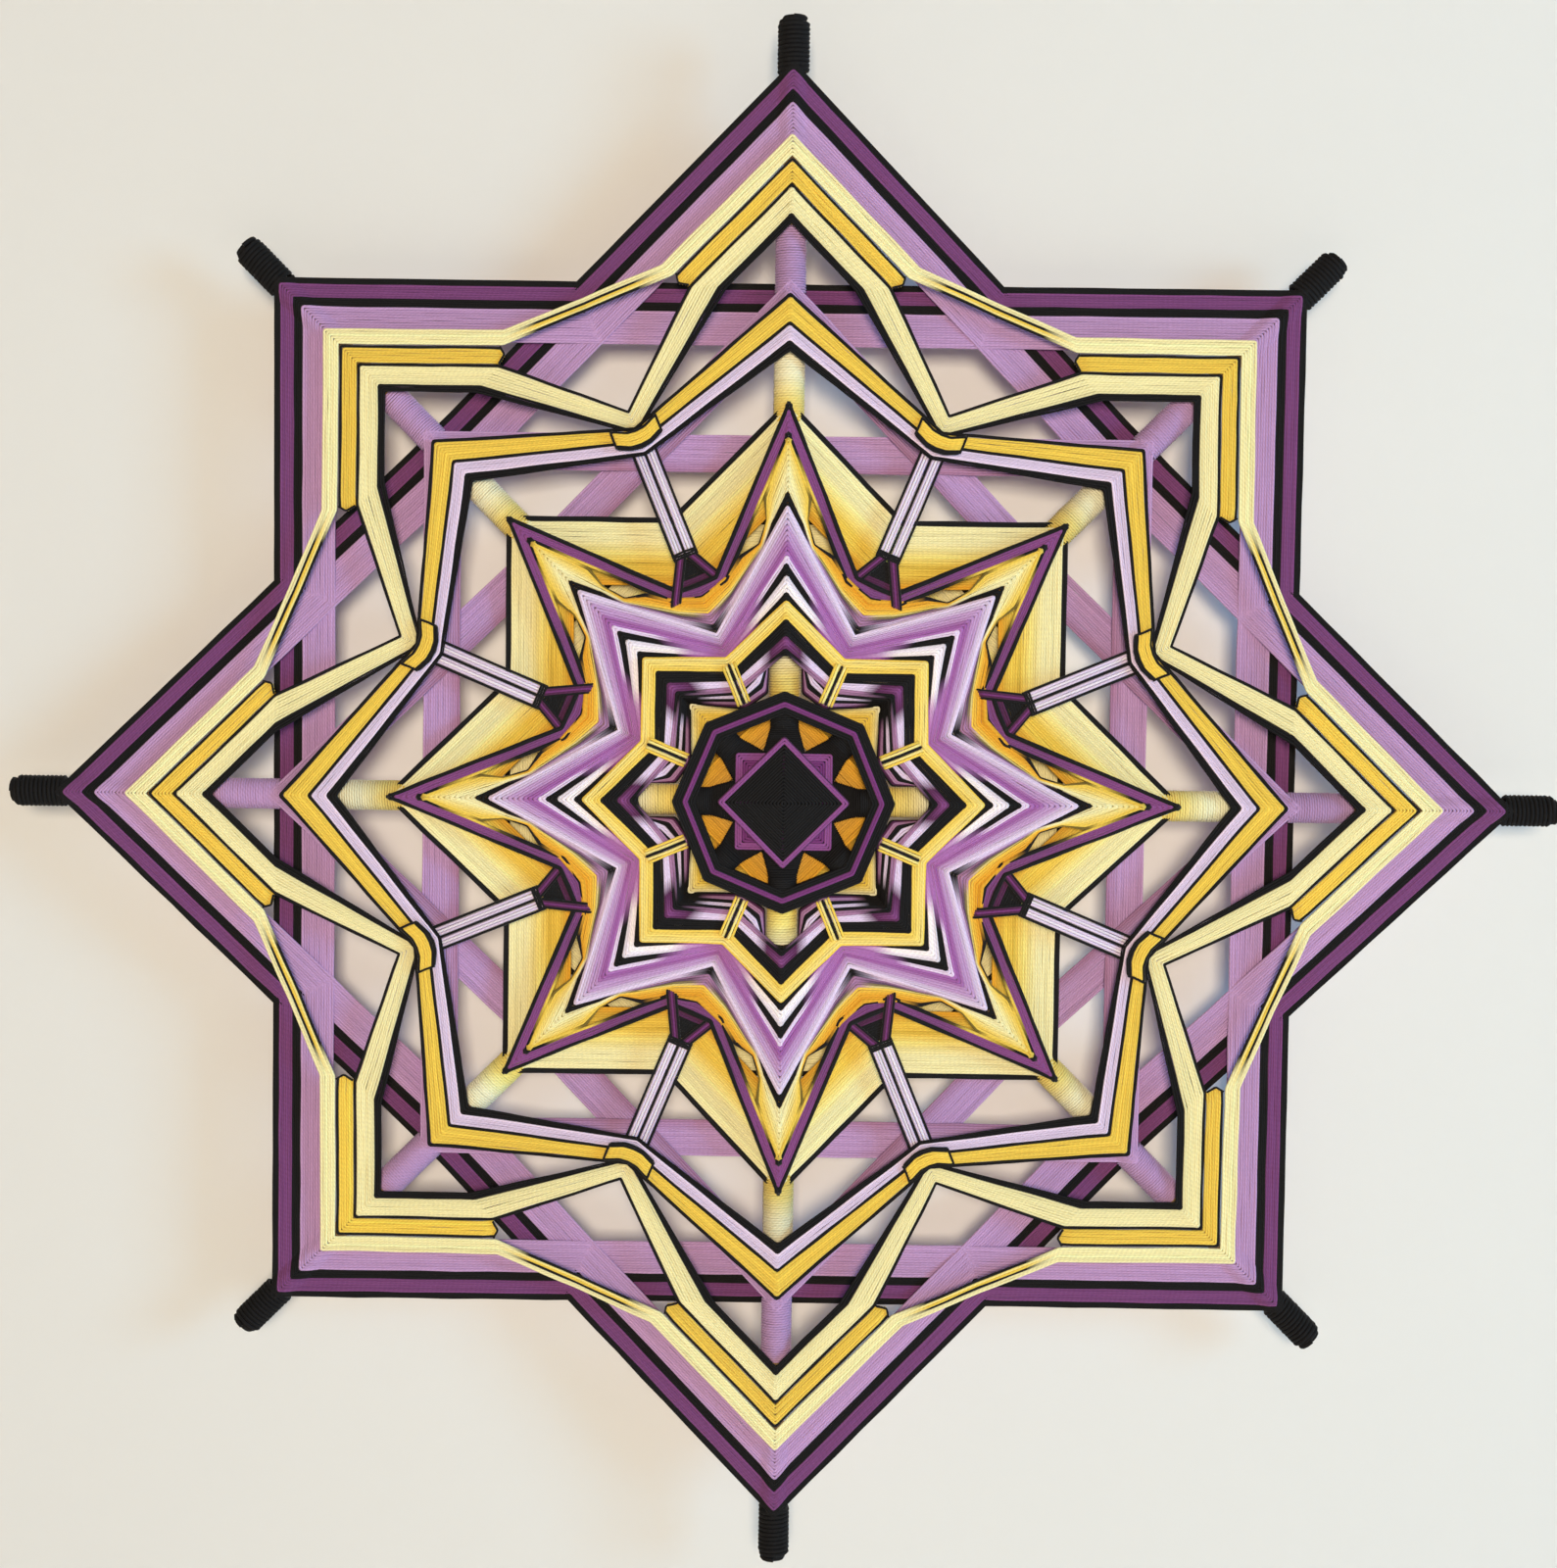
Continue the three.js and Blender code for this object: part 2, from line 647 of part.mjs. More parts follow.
// The purple legs stand on a short flat foot in each valley, clear of the yellow inside them.
function purpleEdges(bend) {
  const foot = THREE.MathUtils.degToRad(PURPLE_FOOT_ANGLE);
  const footOut = goldenPurple.valleyOut + PURPLE_FOOT_GAP;
  const footIn = goldenPurple.valleyIn + PURPLE_FOOT_GAP;
  const flat = Math.cos(foot);
  return {
    outer: [[goldenPurple.tipOut, 0], polar(footOut, EIGHTH - foot), polar(footOut * flat, EIGHTH)],
    inner: [[goldenPurple.tipIn, 0], bend.inner, polar(footIn * flat, EIGHTH)],
  };
}

function makeGoldenStar() {
  const bends = goldenBends();
  goldenBands.forEach((band, i) => {
    const edges = band === goldenPurple ? purpleEdges(bends[i]) : goldenEdges(band, bends[i]);
    addPiece(band.name, starRing(GOLDEN_STAR, edges, band), yarn(band.colour));
  });
}

// The pale band carries the spokes behind the star, the yellow band the wraps over its valleys.
function middleStarPart(band) {
  const tops = starTops(MIDDLE_STAR);
  const underside = tops.valley - SHEET;
  if (band.name === 'middle_star_pale') {
    const ring = starRing(MIDDLE_STAR, straightEdges(band), { ...band, valleySink: UNDER_LAYER });
    const bottoms = [underside - UNDER_LAYER + SPOKE_RISE, underside - UNDER_LAYER];
    const spokeEnd = (band.valleyIn + band.valleyOut) / 2;
    const spokes = ARM_NAMES.map((_, arm) => (
      valleyBar(arm, spokeFoot, spokeEnd, SPOKE_WIDTH, bottoms, SHEET)
    ));
    return joined([ring, ...spokes]);
  }
  if (band.name === 'middle_star_yellow') {
    const climb = (tops.upright - tops.valley) / (EIGHTH * band.valleyIn);
    const lift = GATHER_GAP + (climb * GATHER_LENGTH) / 2;
    const ring = starRing(MIDDLE_STAR, straightEdges(band), { ...band, valleyRaise: lift + SHEET });
    const gatherBottoms = [tops.valley + lift, tops.valley + lift];
    const gatherEnd = band.valleyOut;
    const gathers = ARM_NAMES.map((_, arm) => (
      valleyBar(arm, gatherEnd - GATHER_WIDTH, gatherEnd, GATHER_LENGTH, gatherBottoms, SHEET)
    ));
    return joined([ring, ...gathers]);
  }
  return starRing(MIDDLE_STAR, straightEdges(band), band);
}

function makeMiddleStar() {
  for (const band of middleBands) {
    addPiece(band.name, middleStarPart(band), yarn(band.colour));
  }
}

// Edges that leave the tip at 45 degrees, turn at a shoulder and run to the valley.
function shoulderEdge(tip, valley) {
  return [[tip, 0], [shoulderAlong, tip - shoulderAlong], polar(valley, EIGHTH)];
}

// The edge of the outer cream band: from the tip to where it meets the tie between two arms.
function tieEdge(tip, tieRadius) {
  const across = (tip * Math.cos(EIGHTH) - tieRadius) / (Math.cos(EIGHTH) - Math.sin(EIGHTH));
  return [[tip, 0], [tip - across, across], polar(tieRadius, EIGHTH)];
}

// The yellow band ends at the shoulder and its yarn runs on to the next arm behind the tie.
function chevronYellowEdges() {
  const creamEdge = tieEdge(creamIn, tieIn);
  const wideEnd = creamEdge[1][1] - YELLOW_SETBACK;
  const narrowEnd = wideEnd + SHEET;
  const middle = (yellowIn + yellowOut) / 2;
  const tieMiddle = tieIn + TIE_WIDTH / 2;
  const creamTurn = Math.atan2(creamEdge[1][1], creamEdge[1][0]);
  const tieTurn = creamTurn + THREE.MathUtils.degToRad(LINK_TURN);
  const tieStart = tieMiddle / Math.cos(EIGHTH - tieTurn);
  const half = TIE_YARN / 2;
  return {
    outer: [
      [yellowOut, 0],
      [yellowOut - wideEnd, wideEnd],
      [middle + half - narrowEnd, narrowEnd],
      polar(tieStart + half, tieTurn),
      polar(tieMiddle + half, EIGHTH),
    ],
    inner: [
      [yellowIn, 0],
      [yellowIn - wideEnd, wideEnd],
      [middle - half - narrowEnd, narrowEnd],
      polar(tieStart - half, tieTurn),
      polar(tieMiddle - half, EIGHTH),
    ],
    sink: [0, 0, UNDER_LAYER, UNDER_LAYER, UNDER_LAYER],
  };
}

function makeChevrons() {
  for (const band of chevronBands) {
    const edges = {
      outer: shoulderEdge(band.tipOut, band.valleyOut),
      inner: shoulderEdge(band.tipIn, band.valleyIn),
    };
    addPiece(band.name, starRing(CHEVRON, edges, band), yarn(band.colour));
  }
  addPiece('chevron_yellow', starRing(CHEVRON, chevronYellowEdges()), yarn('yellow'));
  const creamEdges = {
    outer: tieEdge(creamOut, tieIn + TIE_WIDTH),
    inner: tieEdge(creamIn, tieIn),
  };
  addPiece('chevron_cream_outer', starRing(CHEVRON, creamEdges, { seat: 'square' }), yarn('cream'));
}

// The eight-sided rim and the ridged squares at the centre, turned with their corners on the arms.
function turned(profile, sides, turn) {
  const points = profile.map(([r, h]) => new THREE.Vector2(r, h));
  const geometry = new THREE.LatheGeometry(points, sides);
  geometry.rotateX(Math.PI / 2);
  geometry.rotateZ(turn);
  return geometry;
}

function flatRing(inner, outer, bottom, top) {
  return [[inner, bottom], [outer, bottom], [outer, top], [inner, top], [inner, bottom]];
}

// A flat plate on an arm, extruded from an outline of points along and across it.
function armPlate(arm, corners, bottom, top) {
  const outline = new THREE.Shape(corners.map(([u, v]) => new THREE.Vector2(...onArm(arm, u, v))));
  const plate = new THREE.ExtrudeGeometry(outline, { depth: top - bottom, bevelEnabled: false });
  return plate.translate(0, 0, bottom);
}

// A bar on an arm with a blunt point that fits the corner of the rim.
function rimArm(arm, from, to, bottom, top) {
  const half = RIM_ARM_WIDTH / 2;
  const shoulder = to - half * Math.tan(EIGHTH);
  const corners = [[from, -half], [shoulder, -half], [to, 0], [shoulder, half], [from, half]];
  return armPlate(arm, corners, bottom, top);
}

// The thin inner end of a rim arm, which widens toward the centre and lies behind the hub squares.
function rimWedge(arm, reach, bottom, top) {
  const half = RIM_ARM_WIDTH / 2;
  const wide = RIM_WEDGE_WIDTH / 2;
  const from = reach - RIM_WEDGE_LENGTH;
  return armPlate(arm, [[from, -wide], [reach, -half], [reach, half], [from, wide]], bottom, top);
}

function makeRim() {
  const bottom = UPRIGHT_AXIS + SEATS.wrap;
  const top = UPRIGHT_AXIS + RIM_RISE;
  const sides = ARM_NAMES.length;
  const purpleIn = RIM_CORNER + RIM_BLACK_INNER + BAND_GAP;
  const blackIn = purpleIn + RIM_PURPLE + BAND_GAP;
  const inner = turned(flatRing(RIM_CORNER, RIM_CORNER + RIM_BLACK_INNER, bottom, top), sides, 0);
  const hubReach = HUB_SQUARE_CORNER + BAND_GAP + HUB_OUTLINE_WIDTH + BAND_GAP;
  const arms = ARM_NAMES.map((_, arm) => (
    rimArm(arm, hubReach, RIM_CORNER + RIM_BLACK_INNER / 2, bottom, top - RIM_TILE_STEP)
  ));
  const wedges = ARM_NAMES.map((_, arm) => (
    rimWedge(arm, hubReach + RIM_TILE_STEP, UPRIGHT_AXIS + SEATS.square, bottom + RIM_TILE_STEP)
  ));
  addPiece('rim_black_inner', joined([inner, ...arms, ...wedges]), yarn('black'));
  const purple = turned(flatRing(purpleIn, purpleIn + RIM_PURPLE, bottom, top + RIM_TILE_STEP), sides, 0);
  addPiece('rim_purple', joined([purple]), yarn('purple'));
  const black = turned(flatRing(blackIn, blackIn + RIM_BLACK_OUTER, bottom, top), sides, 0);
  addPiece('rim_black_outer', joined([black]), yarn('black'));
}

function makeHub() {
  const corner = HUB_SQUARE_CORNER;
  const outlineIn = corner + BAND_GAP;
  const outlineOut = outlineIn + HUB_OUTLINE_WIDTH;
  const low = UPRIGHT_AXIS + SEATS.wrap + RIM_TILE_STEP + CLEARANCE;
  const high = low + SHEET;
  const seat = high + CLEARANCE;
  const shoulder = UPRIGHT_AXIS + RIM_RISE;
  const diamond = turned([[0, seat], [corner, seat], [corner, shoulder], [0, shoulder + HUB_PEAK]], 4, 0);
  addPiece('hub_diamond_black', joined([diamond]), yarn('black'));
  const outline = turned(flatRing(outlineIn, outlineOut, seat, shoulder), 4, 0);
  addPiece('hub_diamond_outline', joined([outline]), yarn('purple'));

  const square = turned([[0, low], [corner, low], [corner, high], [0, high]], 4, Math.PI / 4);
  addPiece('hub_square_black', joined([square]), yarn('black'));
  const squareOutline = turned(flatRing(outlineIn, outlineOut, low, high), 4, Math.PI / 4);
  addPiece('hub_square_outline', joined([squareOutline]), yarn('violet'));
}

makeSticks();
makeTipWraps();
makeSquares();
makeHeartSquares();
makeHeartStar();
makeLavenderStar();
makeGoldenStar();
makeMiddleStar();
makeChevrons();
makeRim();
makeHub();

// Standing up, with the front toward -Y and the rear of the diagonal sticks at y = 0.
root.rotation.x = Math.PI / 2;
root.updateMatrixWorld(true);
export default root;
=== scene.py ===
import math

import bpy
import numpy as np
from mathutils import Matrix, Vector


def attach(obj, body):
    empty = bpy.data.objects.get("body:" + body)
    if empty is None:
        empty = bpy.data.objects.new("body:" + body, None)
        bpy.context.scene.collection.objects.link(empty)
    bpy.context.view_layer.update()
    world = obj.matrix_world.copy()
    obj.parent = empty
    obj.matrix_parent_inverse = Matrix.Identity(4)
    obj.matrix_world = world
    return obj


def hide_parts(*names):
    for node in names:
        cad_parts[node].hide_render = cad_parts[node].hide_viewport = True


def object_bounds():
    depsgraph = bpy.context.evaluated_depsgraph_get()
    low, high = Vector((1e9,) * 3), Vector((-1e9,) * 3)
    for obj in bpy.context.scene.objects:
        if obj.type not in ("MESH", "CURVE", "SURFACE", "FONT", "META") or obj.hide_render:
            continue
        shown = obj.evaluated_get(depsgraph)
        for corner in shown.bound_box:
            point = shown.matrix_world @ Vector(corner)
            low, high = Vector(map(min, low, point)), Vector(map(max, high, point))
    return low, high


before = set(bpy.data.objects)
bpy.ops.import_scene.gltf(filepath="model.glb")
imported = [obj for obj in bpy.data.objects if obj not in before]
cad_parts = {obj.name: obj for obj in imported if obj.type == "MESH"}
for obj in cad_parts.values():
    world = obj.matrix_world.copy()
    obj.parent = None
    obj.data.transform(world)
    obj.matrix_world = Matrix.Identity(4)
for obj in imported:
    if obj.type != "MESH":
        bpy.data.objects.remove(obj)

bl_info = {
    "name": "Ojo de dios yarn winder",
    "version": (1, 0, 0),
    "blender": (4, 5, 0),
    "location": "View3D > Sidebar > Ojo de dios",
    "description": "Winds yarn strand by strand over the frame of an eight-armed ojo de dios",
    "category": "Object",
}

CAD_LOW, CAD_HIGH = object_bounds()

# Sizes of the frame and its bands, in millimetres, in the plane of the sticks with the front up
SEAT = 3.3
SHEET = 1.3
WRAP_RADIUS = 5.2
GAP = 0.4
UNDER_LAYER = 2.2
RIDGE, RIDGE_REACH = 0.8, 4.5
BEND_REACH = 1.4
DIAGONAL_AXIS = 3.0
UPRIGHT_AXIS = 10.9
STICK_REACH = 251.5
OUTER_TIP = 237.2
EIGHTH = math.pi / 8
ARMS = ["n", "ne", "e", "se", "s", "sw", "w", "nw"]
CROSSES = {"upright": 0, "diagonal": 1}

# Spacing of the lanes and girths of the strands, as multiples of the yarn's diameter. The girth of a
# thicker line is given at shares of the way from the arm to the valley. A bend nearer to straight
# than the cosine here stays as it is, and any other loses at most a share of each side.
LANE = 0.95
TIP_LANE, RING_LANE, HUB_LANE, RIM_ARM_LANE = 0.94, 0.97, 1.3, 0.78
CLOSE, GIRTHS, BEND_GIRTH = 1.2, (0.5, 1.4), 1.5
PLUMP, STACK_GIRTH, KEEL_GIRTH = 1.12, 1.2, 1.3
EDGE_STRANDS, EDGE_GIRTH, EDGE_SINK = 2, 1.3, 0.9
LINE_GIRTH = ((0.05, 0.12, 0.3, 0.45), (1.8, 1.35, 1.35, 2.0))
STRAIGHT, CUT_SHARE = -0.96, 0.4

# Star groups: rise over the upright stick, drop to the diagonal one, dip in the valley, first radii
# and the bands from the inside out as name, colour slot, width on the arm and width in the valley.
# They lie over the solids of the same names, with thin dark lines drawn to the width of the yarn.
STARS = {
    "heart_star": {
        "rise": 11.0, "drop": 2.5, "dip": 1.5, "tip": 48.0, "valley": 38.5,
        "bands": [("black_inner", "black", 1.6, 1.4), ("plum", "plum", 3.6, 1.5),
                  ("black_outer", "black", 5.0, 3.0), ("yellow", "yellow", 5.1, 4.0)],
    },
    "lavender_star": {
        "rise": 9.0, "drop": 4.0, "dip": 3.0, "tip": 64.9, "valley": 50.0,
        "bands": [("black_inner", "black", 2.8, 0.2), ("white", "white", 5.0, 0.3),
                  ("black_outer", "black", 3.5, 0.2), ("pale_inner", "pale", 2.2, 0.7),
                  ("deep", "violet", 6.0, 1.9), ("pale_outer", "pale", 8.6, 2.6)],
    },
    "golden_star": {
        "rise": 6.9, "drop": 6.0, "dip": 0.5, "tip": 95.4, "valley": 58.3,
        "bands": [("black", "black", 4.7, 3.0), ("cream", "cream", 6.4, 3.6),
                  ("yellow", "yellow", 10.0, 5.0), ("purple", "purple", 10.9, 2.9)],
    },
    "middle_star": {
        "rise": 7.0, "drop": 7.9, "dip": 0.0, "tip": 145.0, "valley": 120.6,
        "bands": [("black_inner", "black", 3.1, 0.8), ("pale", "pale", 4.4, 2.6),
                  ("black_middle", "black", 0.9, 0.6), ("yellow", "yellow", 7.4, 3.0),
                  ("black_outer", "black", 1.2, 0.8)],
    },
    "chevron": {
        "rise": 7.0, "drop": 7.9, "dip": 0.0, "sag": 1.3, "tip": 185.6, "valley": 128.0,
        "bands": [("black_inner", "black", 2.8, 0.9), ("cream_inner", "cream", 7.8, 5.4),
                  ("black_outer", "black", 0.9, 0.9)],
    },
}
SHOULDER_ALONG = 165.1
GOLDEN_BEND_ANGLE = math.radians(15)
GOLDEN_BENDS = [(65.9, 67.5), (67.9, 70.3), (70.7, 74.9)]
PURPLE_BEND = 73.9
PURPLE_FOOT = (71.2, 76.1, math.radians(4.8))
GOLDEN_WAIST = [((88.5, 3.9), (89.4, 5.1)), ((89.6, 5.3), (90.0, 5.7)), ((90.2, 5.9), (90.9, 6.6))]
GOLDEN_NECK = [((81.4, 7.4), (81.8, 7.8)), ((82.0, 7.9), (82.4, 8.2)), ((82.6, 8.3), (83.2, 9.0))]
GOLDEN_SPREAD = [((77.2, 9.7), (77.8, 10.3)), ((78.0, 10.5), (78.3, 10.9)), ((78.5, 11.1), (79.3, 15.0))]
GOLDEN_LEAF = (98.4, 7.6)
YELLOW_CHEVRON = (198.4, 206.2)
CREAM_CHEVRON = (206.8, 213.8)
TIE = (170.6, 175.0)
YELLOW_SETBACK, YELLOW_STRANDS, YELLOW_POINTS, YELLOW_TUCK = 3.8, 7, 25, 1.4
CAP_STOPS, CAP_BULGE, CAP_PULL = (0.0, 0.3, 0.55, 0.8, 1.0), 0.55, 2.4
CAP_LIFT, CAP_GIRTH = 0.05, 0.9
VALLEY_LAP = 0.25
KEEL_EDGE, KEEL_JOIN, KEEL_DEPTH = 0.2, 0.1, 0.9
YELLOW_BAND, PURPLE_BAND = 2, 3
LEAF_END = 0.6

# Layers stacked under an edge of a band: share across the band, layers, and inset in the valley
STACKS = {"heart_star_black_inner": (0.0, 9, 5.5), "heart_star_yellow": (1.0, 9, 0.0),
          "lavender_star_pale_outer": (1.0, 7, 0.0), "golden_star_purple": (1.0, 2, 0.0)}

# Straight squares: colour, corner radii on the arms, inside and outside, and the wrapped posts beyond;
# then the bend over an arm, and the heights where one square dips past the other, at shares of its
# corner radius
SQUARES = {
    "cream_square": ("cream", 98.6, 129.6, (123.0, 145.2)),
    "lavender_square": ("lavender", 151.3, 168.0, (164.2, 185.6)),
    "outer_lavender": ("lavender", 209.4, 224.3, None),
    "outer_black": ("black", 224.7, 228.2, None),
    "outer_purple": ("purple", 228.6, 234.6, None),
    "outer_edge": ("black", 235.0, 237.2, None),
}
CROWN_HALF, CROWN_DROP, CROWN_REACH, CROWN_LIFT = 0.5, 0.25, 1.25, 0.5
SQUARE_UNDER, SQUARE_BEHIND = ((0.255, 1.1), (0.325, -1.1)), (0.47, 0.5)
SQUARE_OVER = ((0.27, 0.0), (0.33, -0.5), (0.5, -0.7))
HEART_SQUARES = {"upright": (24.0, 35.0), "diagonal": (24.0, 43.9)}
HEART_POST = (33.7, 47.2)
HEART_POST_CLEAR, HEART_POST_FOOT = (46.6, 5.8), (35.2, 5.9)
HEART_CORNER_INSET = 3.4
RIM = {"rim_black_inner": (28.8, 30.5), "rim_purple": (31.1, 32.0), "rim_black_outer": (32.8, 35.6)}
RIM_BOTTOM, RIM_TOP = 16.4, 23.4
RIM_INSET, RIM_PURPLE_LIFT, RING_INSET = (0.3, 0.2), 0.4, 0.4
RIM_ARM, RIM_ARM_WIDTH, RIM_ARM_STEPS = (22.0, 29.6), 4.3, 16
RIM_FLAT, RIM_ROUND, RIM_SHIFT, RIM_CLIMB, RIM_SINK = 0.4, 2.5, 2.0, 3.0, 0.5
RIM_WEDGE = (15.0, 6.9, 16.4)
HUB_CORNER, HUB_OUTLINE, HUB_APEX = 19.0, (19.4, 21.6), 27.6
HUB_OUTLINE_LANES, HUB_OUTLINE_INSET = (0.2, 1.3), 0.6
HUB_SQUARE_TOP, HUB_SEAT, HUB_BLACK = 18.5, 18.8, 12
HUB_STARTS, HUB_SQUARE_LANE, HUB_SQUARE_LIFT = (0.9, 1.0), 1.1, 0.1
TIP_START, TIP_SWELL, TIP_DOME, TIP_SHUT = OUTER_TIP - 2.7, 0.45, 2.2, 0.9
TIP_STEPS, TIP_TURNS, TIP_POINTS, TIP_BULGE = 14, 3.2, 44, 0.2

# Wraps over the valleys: radii, widths, and lifts over the star that carries them
TIES, TIES_WIDTH, TIES_LIFT = (34.4, 47.6), 3.9, 1.2
SPOKE, SPOKE_WIDTH, SPOKE_LIFT = (85.3, 123.0), 7.6, 2.2
LEG_STOPS = ((86.0, 1.6, 1.6), (85.5, 1.7, 2.4), (72.6, 8.6, 2.6), (72.0, 8.9, 1.4))
WEB, WEB_FLARE, WEB_LIFT, WEB_PLUM = (75.4, 84.6, 0.8), 0.53, 1.5, 78
KNOT, KNOT_REACH, KNOT_LIFT = (85.4, 86.2, 87.0), 4.0, 2.6
GATHER, GATHER_LIFT = (128.8, 5.6, 15.0), 1.9
GATHER_BEND = ((-1.0, 2.6, 1.6), (-0.96, 2.2, 0.2), (-0.42, 0.3, 0.0), (0.0, 0.0, 0.1),
               (0.42, 0.3, 0.0), (0.96, 2.2, 0.2), (1.0, 2.6, 1.6))
GATHER_SIDE = ((-0.05, 0.5, 1.0), 2.4, 0.3, 0.2)
TUCK, BAR_GIRTH, WRAP_GIRTH = 1.2, 1.05, 1.1

# Tones laid across each band from its inside edge to its outside edge, at shares of the way from the
# arm to the valley, and the tones of the thicker strands along the inside or outside of some bands
TONES = {
    "heart_star_black_inner": {0.28: "black", 0.36: "mauve"},
    "heart_star_plum": {0.0: "plum purple plum", 0.3: "plum", 0.38: "pale"},
    "heart_star_yellow": {0.0: "yellow butter"},
    "lavender_star_black_inner": {0.42: "black", 0.55: "orchid"},
    "lavender_star_white": {0.42: "white", 0.58: "violet"},
    "lavender_star_black_outer": {0.36: "black", 0.48: "violet"},
    "lavender_star_pale_inner": {0.28: "pale", 0.42: "violet"},
    "lavender_star_deep": {0.0: "violet orchid lavender"},
    "lavender_star_pale_outer": {0.0: "lavender lavender pale pale"},
    "golden_star_black": {0.18: "black", 0.26: "lavender", 0.76: "pale", 0.86: "black"},
    "golden_star_cream": {0.2: "cream", 0.3: "lavender black butter", 0.8: "mauve black butter",
                          1.0: "mauve"},
    "golden_star_yellow": {0.03: "cream butter yellow", 0.18: "butter yellow yellow",
                           0.24: "yellow amber black", 0.36: "yellow amber black",
                           0.46: "yellow amber amber"},
    "golden_star_yellow_outside": {0.14: "yellow", 0.2: "black", 0.5: "black", 0.62: "amber"},
    "golden_star_purple": {0.1: "purple", 0.45: "wine"},
    "golden_star_purple_inside": {0.09: "black", 0.14: "yellow", 0.26: "yellow", 0.31: "black"},
    "golden_star_purple_outside": {0.0: "black"},
    "outer_purple": {0.0: "wine"},
    "cream_square": {0.0: "amber yellow yellow butter cream cream cream"},
    "lavender_square": {0.0: "mauve lavender lavender lavender"},
    # Painted shade: the heart squares lie sunk under the rim and the stars, so their inner parts take a
    # darker amber that stands for the shade there
    "heart_square_upright": {0.0: "honey amber"},
    # Painted light: the outer edge of the diagonal heart square is a cream lighter than the yarn,
    # brightening it in its shade
    "heart_square_diagonal": {0.0: "honey honey honey amber yellow yellow yellow butter ivory"},
}
# Painted light: the posts run out to a cream lighter than the yarn, brightening them where the winding
# around them shades them
POST_TONES, HEART_POST_TONES = "yellow butter ivory ivory", "yellow butter ivory"
HEART_SLOPE = "black plum mauve mauve black black pale pale black".split()
CHEVRON_TIE_TONES = "black butter yellow black cream cream".split()
TIES_TONES = "yellow butter black butter yellow".split()
SPOKE_TONES = "black pale white pale black pale white pale black".split()
GATHER_TONES = "black black yellow yellow yellow yellow yellow black".split()
LEG_TONES = {-1.5: "black", -0.75: "plum", 0.0: "grape", 0.75: "plum", 1.5: "black"}
HEART_FADE, TIE_FADE = (0.25, 8), (0.62, 9)
DULL = ("black", "plum")
PLIES, SHEEN = 2, 0.12
# Colour of the painted shade in the crevices between the plies, and of the random cloudy tone
PLY_SHADE_COLOUR, CLOUD_COLOUR = (0.05, 0.03, 0.04, 1), (0.62, 0.58, 0.6, 1)
WOOD_COLOURS = (0.62, 0.42, 0.22, 1), (0.40, 0.24, 0.11, 1)

# The room and its lamps: place, size, power, colour and the cone of the one kept to the heart
ROOM_HALF, ROOM_TOP, ROOM_FRONT, ROOM_BACK = 2.2, 2.2, -4.0, 2.0
LAMPS = {
    "window": ((1.9, -1.3, 0.3), 0.8, 24.0, (0.25, 0.65, 1.0)),
    "front": ((0.05, -2.4, 0.25), 0.5, 48.0, (1.0, 0.83, 0.62)),
    "back": ((0.7, 2.2, 0.7), 1.2, 26.0, (1.0, 0.97, 0.93)),
    "heart": ((0.05, -1.4, 0.1), 0.08, 20.0, (0.8, 0.9, 1.0), math.radians(7.5)),
}
SKY_COLOUR, SKY_STRENGTH = (0.92, 0.96, 1.0, 1), 0.09
CAMERA_X, CAMERA_AIM, SENSOR = 0.0009, (-0.00175, 0.0, 0.0048), 36.0


def length_setting(name, description, default, low, high):
    return bpy.props.FloatProperty(
        name=name, description=description, default=default, min=low, max=high, unit="LENGTH", precision=5)


def colour_setting(name, description, default):
    return bpy.props.FloatVectorProperty(
        name=name, description=description, default=default, size=3, min=0.0, max=1.0,
        subtype="COLOR_GAMMA")


class YarnSettings(bpy.types.PropertyGroup):
    """Yarn sizes and colours."""

    diameter: length_setting("Yarn diameter", "Width of one strand as it lies", 0.00088, 0.0004, 0.003)
    tip_diameter: length_setting(
        "Tip yarn diameter", "Width of the yarn wound on the stick ends", 0.0015, 0.0005, 0.003)
    sides: bpy.props.IntProperty(
        name="Sides", description="Facets round one strand", default=6, min=4, max=12)
    ply_pitch: length_setting("Ply pitch", "Length of one full twist of the plies", 0.0032, 0.001, 0.02)
    wander: length_setting("Wander", "How far a strand strays from its lane", 0.00004, 0.0, 0.0005)
    seed: bpy.props.IntProperty(
        name="Seed", description="Seed of the small irregularities", default=11, min=0)


PALETTE = {
    "black": (0.075, 0.07, 0.078), "plum": (0.33, 0.15, 0.30), "grape": (0.48, 0.22, 0.48),
    "purple": (0.55, 0.30, 0.55), "wine": (0.495, 0.275, 0.50),
    "orchid": (0.64, 0.37, 0.67), "violet": (0.68, 0.45, 0.73), "lavender": (0.77, 0.62, 0.82),
    "mauve": (0.68, 0.50, 0.66), "pale": (0.90, 0.83, 0.95), "white": (0.95, 0.92, 0.98),
    "cream": (0.985, 0.95, 0.73), "butter": (0.985, 0.91, 0.56), "yellow": (0.97, 0.83, 0.34),
    # Of these tones, the darker amber is painted shade for the sunk heart squares, and the lightest cream
    # is painted light for the posts and the heart's diagonal square
    "amber": (0.94, 0.69, 0.19), "honey": (0.84, 0.63, 0.25), "ivory": (0.995, 0.975, 0.83),
}
for _name, _colour in PALETTE.items():
    YarnSettings.__annotations__[_name] = colour_setting(
        f"{_name.capitalize()} yarn", f"Colour of the {_name} yarn", _colour)


